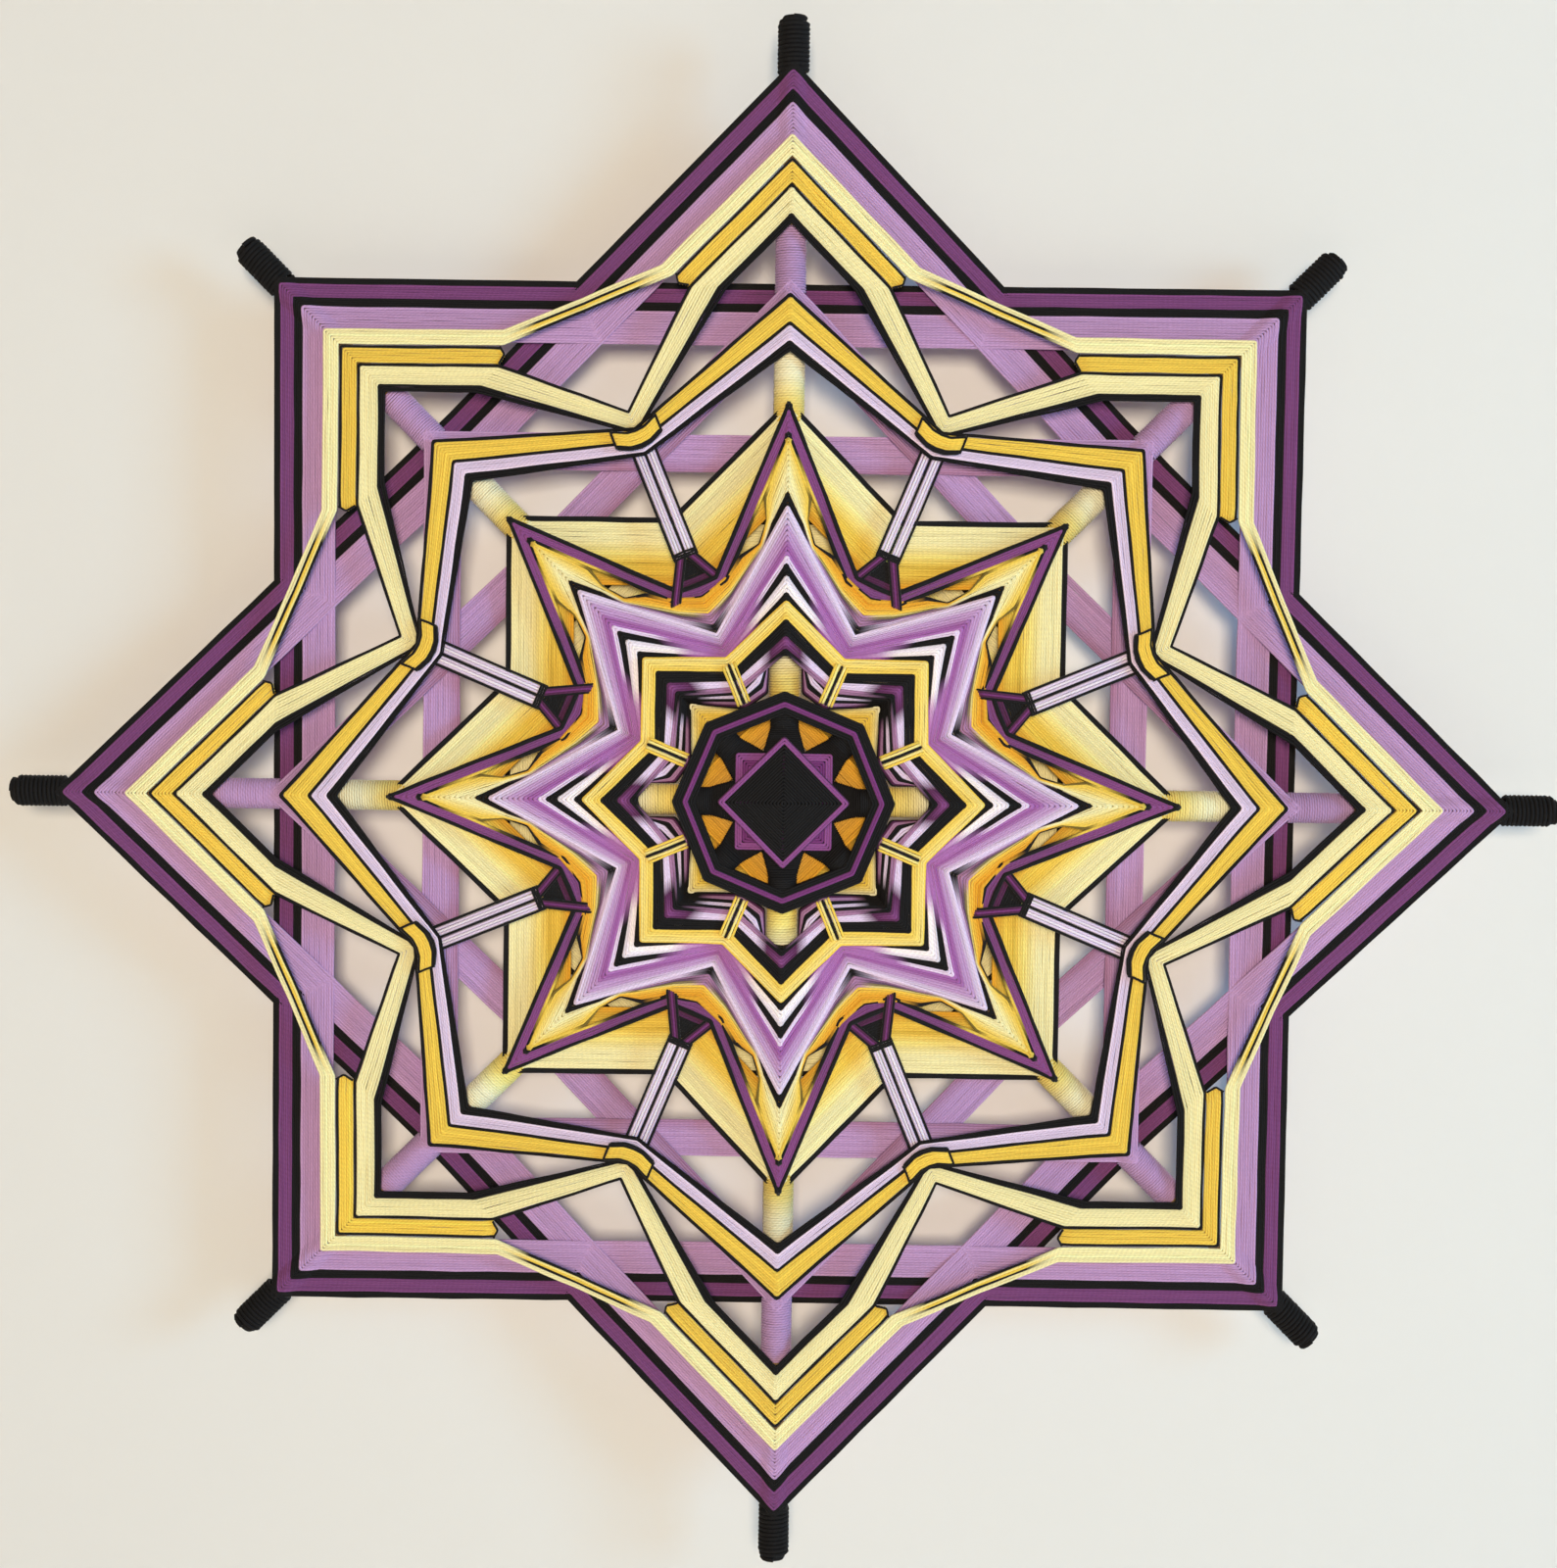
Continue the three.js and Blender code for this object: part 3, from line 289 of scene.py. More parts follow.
class StageSettings(bpy.types.PropertyGroup):
    """Wall, floor, lights and camera."""

    wall_gap: length_setting("Wall gap", "Distance from the yarn's back to the wall", 0.016, 0.005, 0.5)
    wall_colour: colour_setting("Wall colour", "Colour of the painted wall", (0.855, 0.86, 0.86))
    floor_drop: length_setting("Floor drop", "Height of the centre over the floor", 0.62, 0.3, 3.0)
    picture_height: length_setting(
        "Picture height", "Height that the picture spans at the yarn", 0.5192, 0.1, 3.0)
    camera_distance: length_setting(
        "Camera distance", "Distance from the camera to the yarn", 0.8, 0.4, 5.0)
    camera_rise: length_setting("Camera rise", "Height of the camera over the centre", 0.0487, -1.0, 1.0)
    camera_roll: bpy.props.FloatProperty(
        name="Camera roll", description="Turn of the camera about its own line of sight",
        default=math.radians(0.78), min=-0.5, max=0.5, subtype="ANGLE")


def yarn():
    return bpy.context.scene.ojo_yarn


def strand():
    """Width of one strand, in millimetres."""
    return yarn().diameter * 1000


def add_object(name, data):
    obj = bpy.data.objects.new(name, data)
    bpy.context.scene.collection.objects.link(obj)
    return obj


def linear(colour):
    """An sRGB colour as scene-linear numbers."""
    c = np.asarray(colour, float)
    return np.where(c <= 0.04045, c / 12.92, ((c + 0.055) / 1.055) ** 2.4)


def tone(name):
    return linear(getattr(yarn(), name))


def between(shares, at, rows):
    """Rows of numbers at given shares, passed through evenly at any other share."""
    return np.stack([np.interp(shares, at, column) for column in np.transpose(rows)], 1)


def tones_across(names, shares):
    """Colours at shares from 0 to 1 across a band, one row each."""
    rows = [tone(name) for name in names.split()]
    return between(shares, np.linspace(0, 1, len(rows)), rows)


# Places in the plane of the sticks

def axis_height(arm):
    return UPRIGHT_AXIS if arm % 2 == 0 else DIAGONAL_AXIS


def on_arm(arm, along, across):
    """Points along an arm and across it toward the next arm clockwise."""
    angle = math.pi / 2 - arm * 2 * EIGHTH
    x = along * math.cos(angle) + across * math.sin(angle)
    y = along * math.sin(angle) - across * math.cos(angle)
    return x, y


def arm_rows(arm, along, across, *more):
    """The same places as rows, with a height and any other measure of each point."""
    return np.stack([*on_arm(arm, along, across), *more], 1)


def polar(radius, angle):
    return np.array([radius * math.cos(angle), radius * math.sin(angle)])


def on_wall(points):
    """Drawing points in millimetres as places in the standing object, in metres."""
    return points[:, [0, 2, 1]] / (1000, -1000, 1000)


def star_tops(star):
    upright = UPRIGHT_AXIS + star["rise"]
    diagonal = upright - star["drop"]
    return upright, diagonal, (upright + diagonal) / 2 - star["dip"]


def spread(points, step):
    """The same polyline with no span longer than step."""
    made = [points[0]]
    for a, b in zip(points[:-1], points[1:]):
        count = max(1, int(math.ceil(np.linalg.norm(b[:2] - a[:2]) / step)))
        made += [a + (b - a) * k / count for k in range(1, count + 1)]
    return np.array(made)


class Winding:
    """Strands of yarn that belong to one piece."""

    STEP = 6.0
    CORNER = 0.55
    WAVE = (14, 40)
    SHADE_SPREAD, GIRTH_SPREAD = 0.06, 0.04

    def __init__(self, name, seed_step):
        self.name = name
        self.random = np.random.default_rng(yarn().seed * 1000 + seed_step)
        self.points, self.edges, self.shades, self.girths = [], [], [], []
        self.count = 0

    def lay(self, points, shades, girth=1.0, closed=False, soft=True, wander=1.0):
        """One strand through points, with a colour and a girth for all of it or for each point."""
        count = len(points)
        shades, girths = np.broadcast_to(shades, (count, 3)), np.broadcast_to(girth, count)
        packed = np.column_stack([points, shades, girths])
        if soft:
            packed = soften(packed, self.CORNER, closed)
        points, shades, girths = packed[:, :3], packed[:, 3:6], packed[:, 6]
        stray = yarn().wander * 1000 * wander
        along = np.concatenate([[0], np.cumsum(np.linalg.norm(np.diff(points, axis=0), axis=1))])
        whole = max(along[-1], 1e-6)
        turns = np.maximum(1, np.round(whole / self.random.uniform(*self.WAVE, 3)))
        phase = self.random.uniform(0, 2 * math.pi, (3, 3))
        wave = sum(np.sin(2 * math.pi * turns[k] * along[:, None] / whole + phase[k]) for k in range(3))
        self.points.append(points + wave * stray)
        self.shades.append(shades * (1 + self.random.normal(0, self.SHADE_SPREAD)))
        self.girths.append(girths * (1 + self.random.normal(0, self.GIRTH_SPREAD)))
        first = self.count
        self.count += len(points)
        self.edges += [(i, i + 1) for i in range(first, self.count - 1)]
        if closed:
            self.edges.append((self.count - 1, first))

    def coil(self, arm, start, end, radius, pitch, colours, steps=10, dome=4.0, shut=0.55):
        """Yarn wound round an arm between two radii, with colours laid from start to end. The last
        stretch closes in as a dome, down to the stick or shut over its end."""
        turns = max(1, round((end - start) / pitch))
        share = np.arange(turns * steps + 1) / (turns * steps)
        along = start + (end - start) * share
        close = np.clip((along - end + dome) / dome, 0, 1)
        around = radius * np.sqrt(1 - shut * close ** 2)
        self.ellipse(arm, along, around, around, axis_height(arm), turns, tones_across(colours, share))

    def ellipse(self, arm, along, half_width, half_height, centre, turns, shades):
        """Yarn wound in ellipses round an arm; each measure is a number or one for each point."""
        share = np.linspace(0, 1, len(along))
        angle = share * turns * 2 * math.pi + self.random.uniform(0, 2 * math.pi)
        line = arm_rows(arm, along, half_width * np.sin(angle), centre + half_height * np.cos(angle))
        self.lay(line, shades, soft=False, wander=0.5)

    def lay_loop(self, loop, shades):
        """A closed strand from rows of place and girth."""
        self.lay(loop[:, :3], shades, loop[:, 3], closed=True)

    def to_object(self, finish, diameter):
        """The strands as a plain mesh, swept by the yarn tree."""
        mesh = bpy.data.meshes.new(self.name)
        mesh.from_pydata(on_wall(np.concatenate(self.points)).tolist(), self.edges, [])
        rgba = np.insert(np.clip(np.concatenate(self.shades), 0, 1), 3, 1, 1)
        for name, kind, key, rows in (("shade", "FLOAT_COLOR", "color", rgba),
                                      ("girth", "FLOAT", "value", np.concatenate(self.girths))):
            made = mesh.attributes.new(name, kind, "POINT")
            made.data.foreach_set(key, rows.astype(np.float32).ravel())
        obj = add_object(self.name, mesh)
        tree = yarn_tree()
        modifier = obj.modifiers.new("yarn", "NODES")
        modifier.node_group = tree
        values = {"Yarn Diameter": diameter, "Yarn Sides": yarn().sides, "Yarn Finish": finish}
        for item in tree.interface.items_tree:
            if item.name in values:
                modifier[item.identifier] = values[item.name]
        graph = bpy.context.evaluated_depsgraph_get()
        swept = bpy.data.meshes.new_from_object(
            obj.evaluated_get(graph), preserve_all_data_layers=True, depsgraph=graph)
        obj.modifiers.clear()
        obj.data = swept
        bpy.data.meshes.remove(mesh)
        swept.name = self.name
        return obj


def soften(packed, cut, closed):
    """Cuts sharp corners of a strand by three points, so that it keeps its girth round them."""
    made = []
    last = len(packed) - 1
    for i, here in enumerate(packed):
        u = packed[i - 1][:3] - here[:3]
        v = packed[i + 1 if i < last else 0][:3] - here[:3]
        lu, lv = np.linalg.norm(u), np.linalg.norm(v)
        if not closed and i in (0, last):
            made.append(here)
        elif min(lu, lv) > 1e-6 and np.dot(u, v) / (lu * lv) < STRAIGHT:
            made.append(here)
        elif min(lu, lv) > 1e-6:
            a, b, middle = here.copy(), here.copy(), here.copy()
            a[:3] += u / lu * min(cut, lu * CUT_SHARE)
            b[:3] += v / lv * min(cut, lv * CUT_SHARE)
            middle[:3] = (a[:3] + b[:3]) / 4 + here[:3] / 2
            made += [a, middle, b]
    return np.array(made)


# Nodes and finishes

class Field:
    """A node socket that takes part in plain arithmetic."""

    def __init__(self, tree, socket=None):
        self.tree, self.socket = tree, socket

    def node(self, kind, links=None, output=0, **settings):
        """A new node with its settings, then its values and links; one of its outputs comes back."""
        made = self.tree.nodes.new(kind)
        for key, value in settings.items():
            setattr(made, key, value)
        for key, value in (links or {}).items():
            if isinstance(value, Field):
                value.feed(made, key)
            else:
                made.inputs[key].default_value = value
        return Field(self.tree, made.outputs[output])

    def other(self, output):
        """Another output of the same node."""
        return Field(self.tree, self.socket.node.outputs[output])

    def feed(self, node, key):
        self.tree.links.new(self.socket, node.inputs[key])

    def noise(self, scale, detail):
        return self.node("ShaderNodeTexNoise", {"Vector": self, "Scale": scale, "Detail": detail})

    def blend(self, first, second, kind="MULTIPLY"):
        """Two colours mixed by this field."""
        return self.node("ShaderNodeMix", {"Factor": self, 6: first, 7: second}, output=2,
                         data_type="RGBA", blend_type=kind)

    def bump(self, strength, distance):
        return self.node("ShaderNodeBump", {"Height": self, "Strength": strength, "Distance": distance})

    def math(self, operation, *values):
        return self.node("ShaderNodeMath", dict(enumerate(values)), operation=operation)

    def __add__(self, other):
        return self.math("ADD", self, other)

    def __mul__(self, other):
        return self.math("MULTIPLY", self, other)

    def __rsub__(self, other):
        return self.math("SUBTRACT", other, self)

    __radd__ = __add__
    __rmul__ = __mul__


def yarn_tree():
    """The node tree that sweeps a strand along each line."""
    found = bpy.data.node_groups.get("wound_yarn")
    if found:
        return found
    tree = bpy.data.node_groups.new("wound_yarn", "GeometryNodeTree")
    for name, kind in (("Lines", "Geometry"), ("Yarn Diameter", "Float"), ("Yarn Sides", "Int"),
                       ("Yarn Finish", "Material")):
        tree.interface.new_socket(name, in_out="INPUT", socket_type=f"NodeSocket{kind}")
    tree.interface.new_socket("Yarn", in_out="OUTPUT", socket_type="NodeSocketGeometry")
    node = Field(tree).node
    given = node("NodeGroupInput", output="Lines")
    line = node("GeometryNodeMeshToCurve", {"Mesh": given})
    length = node("GeometryNodeSplineParameter", output="Length")
    measured = node("GeometryNodeStoreNamedAttribute", {
        "Geometry": line, "Name": "along", "Value": length}, data_type="FLOAT", domain="POINT")
    ring = node("GeometryNodeCurvePrimitiveCircle", {
        "Resolution": given.other("Yarn Sides"), "Radius": 1.0})
    place = node("GeometryNodeInputPosition")
    marked = node("GeometryNodeStoreNamedAttribute", {
        "Geometry": ring, "Name": "round", "Value": place}, data_type="FLOAT_VECTOR", domain="POINT")
    girth = node("GeometryNodeInputNamedAttribute", {"Name": "girth"}, data_type="FLOAT")
    swept = node("GeometryNodeCurveToMesh", {
        "Curve": measured, "Profile Curve": marked, "Fill Caps": True,
        "Scale": girth * (given.other("Yarn Diameter") * 0.5)})
    smooth = node("GeometryNodeSetShadeSmooth", {"Geometry": swept})
    real = node("GeometryNodeRealizeInstances", {"Geometry": smooth})
    coated = node("GeometryNodeSetMaterial", {
        "Geometry": real, "Material": given.other("Yarn Finish")})
    coated.feed(tree.nodes.new("NodeGroupOutput"), "Yarn")
    return tree


def finish_start(name):
    """A new material with its principled shader and the place on the object as a field."""
    material = bpy.data.materials.new(name)
    material.use_nodes = True
    tree = material.node_tree
    return material, tree.nodes["Principled BSDF"], Field(tree).node("ShaderNodeTexCoord", output="Object")


def yarn_finish(colour):
    """Twisted acrylic yarn: plies with painted shade in the crevices between them, loose fibres and a soft
    sheen, which the dark yarns lack.
    """
    name = f"wound_{colour}"
    found = bpy.data.materials.get(name)
    if found:
        return found
    material, shader, place = finish_start(name)
    shade = place.node("ShaderNodeAttribute", output="Color", attribute_name="shade")
    along = place.node("ShaderNodeAttribute", output="Fac", attribute_name="along")
    around = place.node("ShaderNodeAttribute", output="Vector", attribute_name="round")
    side = place.node("ShaderNodeSeparateXYZ", {0: around}, output="X")
    angle = place.math("ARCTAN2", side.other("Y"), side)
    twist = place.math("SINE", angle * PLIES + along * (2 * PLIES * math.pi / yarn().ply_pitch))
    ply = twist * 0.5 + 0.5
    fibre = place.noise(1500.0, 3.0)
    patch = place.noise(90.0, 2.0)
    # Painted shade: the base colour darkens in the crevices between the plies, and random fibre tone
    # darkens it in spots as well
    ply_shade_and_fibre = (1 - ply) * 0.10 + (1 - fibre) * 0.20
    dark = ply_shade_and_fibre.blend(shade, PLY_SHADE_COLOUR)
    (patch * 0.16).blend(dark, CLOUD_COLOUR).feed(shader, "Base Color")
    (fibre * 0.16 + 0.76).feed(shader, "Roughness")
    (ply * 0.7 + fibre * 0.5).bump(0.4, 0.00012).feed(shader, "Normal")
    shader.inputs["Sheen Weight"].default_value = 0.0 if colour in DULL else SHEEN
    shader.inputs["Sheen Roughness"].default_value = 0.45
    shader.inputs["Specular IOR Level"].default_value = 0.25
    return material


def wood_finish():
    """Bare softwood dowel with lengthwise grain."""
    material, shader, place = finish_start("dowel_wood")
    grain = place.noise(240.0, 5.0)
    grain.blend(*WOOD_COLOURS, "MIX").feed(shader, "Base Color")
    (grain * 0.2 + 0.55).feed(shader, "Roughness")
    place.noise(1300.0, 2.0).bump(0.3, 0.0002).feed(shader, "Normal")
    return material


def settle(winding, colour, *nodes, diameter=None):
    """Turns a winding into its piece and puts it in the place of its solids."""
    piece = winding.to_object(yarn_finish(colour), diameter or yarn().diameter)
    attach(piece, "root")
    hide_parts(*nodes)


# Lanes of the star bands

def fade(share, start, rate, first, second):
    """Passes from one tone to the next at a share of the way from arm to valley."""
    part = np.clip((share - start) * rate, 0, 1)
    return tone(first) * (1 - part) + tone(second) * part


def close_girths(widths, count):
    """Girths that let strands of a band close up over its width."""
    return np.clip(CLOSE * widths / (count * strand()), *GIRTHS)


def band_tones(name, colour, across, along):
    """Colours of a strand at its place across a band, for shares of the way from arm to valley."""
    stops = TONES.get(name, {0.0: colour})
    return between(along, list(stops), [tones_across(names, [across])[0] for names in stops.values()])


def star_edges(group, index):
    """Outer and inner edge of a band over half a sector, from the arm to the valley."""
    star = STARS[group]
    tip, valley = star["tip"], star["valley"]
    for _, _, wide, narrow in star["bands"][:index]:
        tip += wide + GAP
        valley += narrow + GAP
    wide, narrow = star["bands"][index][2:]
    reach = (tip - GAP / 2, tip + wide + GAP / 2)
    floor = (valley - GAP / 2, valley + narrow + GAP / 2)
    edges = []
    for side in (1, 0):
        points = [np.array([reach[side], 0.0])]
        if group == "golden_star":
            points += golden_turns(index, side, points[0])
        elif group == "chevron":
            points.append(np.array([SHOULDER_ALONG, reach[side] - SHOULDER_ALONG]))
        if group == "golden_star" and index == PURPLE_BAND:
            inner, outer, foot = PURPLE_FOOT
            points.append(polar((outer if side else inner) * math.cos(foot), EIGHTH))
        else:
            points.append(polar(floor[side], EIGHTH))
        edges.append(np.array(points))
    return edges


def golden_turns(index, side, tip):
    """Bends of the golden bands: a leaf at the arm, a waist beside the lavender tip, then the legs."""
    if index < PURPLE_BAND:
        inner, outer = GOLDEN_BENDS[index]
        waist, neck, wide = [np.array(t[index][side]) for t in (GOLDEN_WAIST, GOLDEN_NECK, GOLDEN_SPREAD)]
        leaf = tip + (waist - tip) * LEAF_END
        if index == YELLOW_BAND and side:
            leaf = np.array(GOLDEN_LEAF)
        bend = polar(outer + GAP / 2 if side else inner - GAP / 2, GOLDEN_BEND_ANGLE)
        return [leaf, waist, neck, wide, bend]
    _, outer, foot = PURPLE_FOOT
    return [polar(outer, EIGHTH - foot) if side else polar(PURPLE_BEND, GOLDEN_BEND_ANGLE)]


def band_widths(outer, inner):
    """Width of a band square to its run, at each point of its edges."""
    run = np.gradient((outer + inner) / 2, axis=0)
    run /= np.linalg.norm(run, axis=1)[:, None]
    across = outer - inner
    return np.abs(across[:, 0] * run[:, 1] - across[:, 1] * run[:, 0])


def star_loop(star, half, level=1.0, valley_lift=0.0, upright_half=None):
    """A closed strand over all eight arms from the points of half a sector, which are along, across
    and girth. Level 1 lies on top of the winding, and level 0 on the sticks. Each row has the place,
    the girth and the share of the way from arm to valley."""
    upright, diagonal, valley = star_tops(star)
    halves = [spread(half if line is None else line, Winding.STEP) for line in (upright_half, None)]
    made = []
    for arm in range(8):
        top = upright if arm % 2 == 0 else diagonal
        half = halves[arm % 2]
        for mirror, line in ((-1, half[::-1]), (1, half[1:-1])):
            angle = np.arctan2(line[:, 1], line[:, 0])
            share = np.clip(angle / EIGHTH, 0, 1)
            crest = RIDGE * np.exp(-(line[:, 1] / RIDGE_REACH) ** 2)
            high = top + (valley - top) * share - strand() / 2 + crest
            high += valley_lift * share ** 6 - star.get("sag", 0.0) * share ** 4
            low = axis_height(arm) + SEAT
            low = low + (valley - SHEET - low) * share
            z = low + (high - low) * level
            made.append(arm_rows(arm, line[:, 0], mirror * line[:, 1], z, line[:, 2], share))
    return np.concatenate(made)


def round_post(half, level):
    """A lane of the heart's inner slope that goes round the wrapped post of an upright arm."""
    tip, valley = half
    beside = np.array([*HEART_POST_CLEAR, tip[2]])
    foot = np.array([*HEART_POST_FOOT, tip[2]])
    return np.array([tip, beside, foot + ((beside + valley) / 2 - foot) * level, valley])


def wind_star_band(winding, group, index, name, colour):
    """Lays the strands of one star band side by side, and those stacked under its edge."""
    star = STARS[group]
    outer, inner = star_edges(group, index)
    widths = band_widths(outer, inner)
    count = max(1, round(widths.max() / (strand() * LANE)))
    girths = close_girths(widths, count)
    bend_girth = np.clip(CLOSE * (outer - inner)[0, 0] / (count * strand()), girths[0], BEND_GIRTH)
    lines = {0: f"{name}_inside", count - 1: f"{name}_outside"}
    for k in range(count):
        share = (k + 0.5) / count
        half = np.column_stack([inner + (outer - inner) * share, girths])
        run = half[1] - half[0]
        half = np.insert(half, 1, half[0] + run * BEND_REACH / np.linalg.norm(run), 0)
        half[0, 2] = bend_girth
        loop = star_loop(star, half, valley_lift=VALLEY_LAP * (k % 2))
        shade = band_tones(name, colour, share, loop[:, 4])
        if lines.get(k) in TONES:
            shade = band_tones(lines[k], colour, share, loop[:, 4])
            loop[:, 3] *= np.interp(loop[:, 4], *LINE_GIRTH)
        winding.lay_loop(loop, shade)
    if name == "golden_star_purple":
        wind_keel(winding, star, inner[0, 0], outer[0, 0], colour)
    share, layers, inset = STACKS.get(name, (0.0, 0, 0.0))
    line = inner + (outer - inner) * share
    for k in range(layers):
        level = k / layers
        deep = line.copy()
        deep[-1] *= 1 - inset * (1 - level) / np.linalg.norm(line[-1])
        half = np.insert(deep, 2, STACK_GIRTH, 1)
        clear = None
        if inset:
            clear = round_post(half, level)
            half[0][0] -= HEART_CORNER_INSET * (1 - level)
        loop = star_loop(star, half, level, upright_half=clear)
        shade = tone("black" if name == "golden_star_purple" else colour)
        if inset:
            shade = fade(loop[:, 4:], *HEART_FADE, "black", HEART_SLOPE[k])
        winding.lay_loop(loop, shade)


def wind_keel(winding, star, start, end, colour):
    """A strand along each arm under the bends of a dark-edged band, so that none of the winding below
    shows between them."""
    edge = (end - start) * KEEL_EDGE
    for arm in range(8):
        along = np.array([start, start + edge, start + edge + KEEL_JOIN,
                          end - edge - KEEL_JOIN, end - edge, end])
        height = np.full(6, star_tops(star)[arm % 2] + RIDGE - strand() * KEEL_DEPTH)
        shades = [tone("black")] * 2 + [tone(colour)] * 2 + [tone("black")] * 2
        winding.lay(arm_rows(arm, along, np.zeros(6), height), shades, KEEL_GIRTH)


# Lanes of the straight squares

def square_loop(first, tip, dips, sink=0.0):
    """A closed strand of a straight square, wound on one cross. A dipping one goes over its own
    arms, under the other square past each valley and behind the arms of the other cross. A sunk one
    lies deeper over its own arms."""
    axis = axis_height(first)
    flat = axis + SEAT * math.tan(EIGHTH) + SHEET / 2
    crest = axis + SEAT + SHEET - sink
    stops = [(0.0, crest), (SEAT * CROWN_HALF, crest - CROWN_DROP), (SEAT * CROWN_REACH, flat + CROWN_LIFT)]
    if dips and first == 0:
        level = DIAGONAL_AXIS + SEAT * math.tan(EIGHTH) + SHEET / 2
        behind = DIAGONAL_AXIS - WRAP_RADIUS - SHEET / 2
        stops += [(share * tip, level + lift) for share, lift in SQUARE_UNDER]
        stops += [(share * tip, behind) for share in SQUARE_BEHIND]
    elif dips:
        stops += [(share * tip, flat + lift) for share, lift in SQUARE_OVER]
    else:
        stops.append((tip / 2, flat))
    half = spread(np.array([[tip - a, a, z] for a, z in stops]), 2 * Winding.STEP)
    made = []
    for side in range(4):
        arm = first + 2 * side
        for mirror, line in ((-1, half[::-1]), (1, half[1:-1])):
            made.append(arm_rows(arm, line[:, 0], mirror * line[:, 1], line[:, 2]))
    return np.concatenate(made)


def wind_square(winding, first, inner, outer, name, colour, dips=True, edge=False):
    """Fills a straight square between two corner radii."""
    count = max(2, int(math.ceil((outer - inner + GAP) / math.sqrt(2) / (strand() * LANE))))
    for k in range(count):
        share = (k + 0.5) / count
        shade, girth, sink = band_tones(name, colour, share, [0.0]), PLUMP, 0.0
        if edge and k >= count - EDGE_STRANDS:
            shade, girth, sink = tone("black"), EDGE_GIRTH, EDGE_SINK
        tip = inner - GAP / 2 + (outer - inner + GAP) * share
        winding.lay(square_loop(first, tip, dips, sink), shade, girth, closed=True)


def wind_posts(winding, first, span, names):
    """Wraps the four arms of a cross between two radii."""
    for arm in range(first, 8, 2):
        winding.coil(arm, *span, WRAP_RADIUS - strand() / 2, strand() * LANE, names)


def valley_points(arm, radius, across):
    """A place on the line between two arms, shifted across it."""
    along, aside = polar(radius, EIGHTH)
    return on_arm(arm, along - across * math.sin(EIGHTH), aside + across * math.cos(EIGHTH))


def lay_valley(winding, arm, stops, colour, girth=1.0):
    """One strand at a valley, through stops given as radius, shift across and height."""
    line = [[*valley_points(arm, radius, across), height] for radius, across, height in stops]
    winding.lay(line, tone(colour), girth)


def wind_valley_bar(winding, arm, ends, width, heights, names):
    """Strands laid lengthwise between two radii on a valley line; the ends tuck under."""
    (near, far), (first, last) = ends, heights
    for across, name in zip(np.linspace(-width / 2, width / 2, len(names)), names):
        stops = [(near, across, first - TUCK), (near, across, first),
                 ((near + far) / 2, across, (first + last) / 2),
                 (far, across, last), (far, across, last - TUCK)]
        lay_valley(winding, arm, stops, name, BAR_GIRTH)


def wind_gather(winding, arm, height):
    """A bent wrap of yarn over a valley of the middle star, with a dark edge all round."""
    radius, width, length = GATHER
    for row, name in enumerate(GATHER_TONES):
        reach = radius - width + width * row / (len(GATHER_TONES) - 1)
        stops = [(reach + drop, side * length / 2, height - lower) for side, drop, lower in GATHER_BEND]
        lay_valley(winding, arm, stops, name, WRAP_GIRTH)
    shares, drop, past, lower = GATHER_SIDE
    for side in (-1, 1):
        stops = [(radius - width * s + drop, side * (length / 2 + past), height - lower) for s in shares]
        lay_valley(winding, arm, stops, "black")


# One operator for each group of like pieces

class OJO_OT_sticks(bpy.types.Operator):
    """Finish the four wooden sticks"""

    bl_idname = "ojo.sticks"
    bl_label = "Sticks"

    def execute(self, context):
        wood = wood_finish()
        for name in ("stick_upright", "stick_level", "stick_rising", "stick_falling"):
            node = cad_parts[name]
            node.data.materials.clear()
            node.data.materials.append(wood)
        return {"FINISHED"}


class OJO_OT_tips(bpy.types.Operator):
    """Wind black yarn over the stick ends"""

    bl_idname = "ojo.tips"
    bl_label = "Tip wraps"

    def execute(self, context):
        wide = yarn().tip_diameter
        thick = wide * 1000
        radius = SEAT + thick / 2
        share = np.linspace(0, 1, TIP_POINTS)
        angle = share * TIP_TURNS * 2 * math.pi
        for arm, name in enumerate(ARMS):
            winding = Winding(f"yarn_tip_{name}", 10 + arm)
            winding.coil(arm, TIP_START, STICK_REACH, radius + TIP_SWELL, thick * TIP_LANE, "black",
                         TIP_STEPS, TIP_DOME, TIP_SHUT)
            spiral = arm_rows(arm, STICK_REACH + TIP_BULGE * share, radius * (1 - share) * np.sin(angle),
                              axis_height(arm) + radius * (1 - share) * np.cos(angle))
            winding.lay(spiral, tone("black"), soft=False, wander=0.3)
            settle(winding, "black", f"tip_wrap_{name}", diameter=wide)
        return {"FINISHED"}


class OJO_OT_squares(bpy.types.Operator):
    """Wind the straight squares of both crosses and the wrapped posts beyond them"""

    bl_idname = "ojo.squares"
    bl_label = "Squares"

    def execute(self, context):
        for step, (label, (colour, inner, outer, post)) in enumerate(SQUARES.items()):
            for cross, first in CROSSES.items():
                winding = Winding(f"yarn_{label}_{cross}", 30 + 2 * step + first)
                wind_square(winding, first, inner, outer, label, colour, edge=label == "cream_square")
                if post:
                    wind_posts(winding, first, post, POST_TONES if colour == "cream" else colour)
                settle(winding, colour, f"{label}_{cross}")
        return {"FINISHED"}


class OJO_OT_heart_squares(bpy.types.Operator):
    """Wind the two cream squares round the hub"""

    bl_idname = "ojo.heart_squares"
    bl_label = "Heart squares"

    def execute(self, context):
        for cross, colour in (("upright", "cream"), ("diagonal", "yellow")):
            first = CROSSES[cross]
            winding = Winding(f"yarn_heart_square_{cross}", 60 + first)
            inner, outer = HEART_SQUARES[cross]
            wind_square(winding, first, inner, outer, f"heart_square_{cross}", colour, dips=False)
            if cross == "upright":
                wind_posts(winding, first, HEART_POST, HEART_POST_TONES)
            settle(winding, colour, f"heart_square_{cross}")
        return {"FINISHED"}


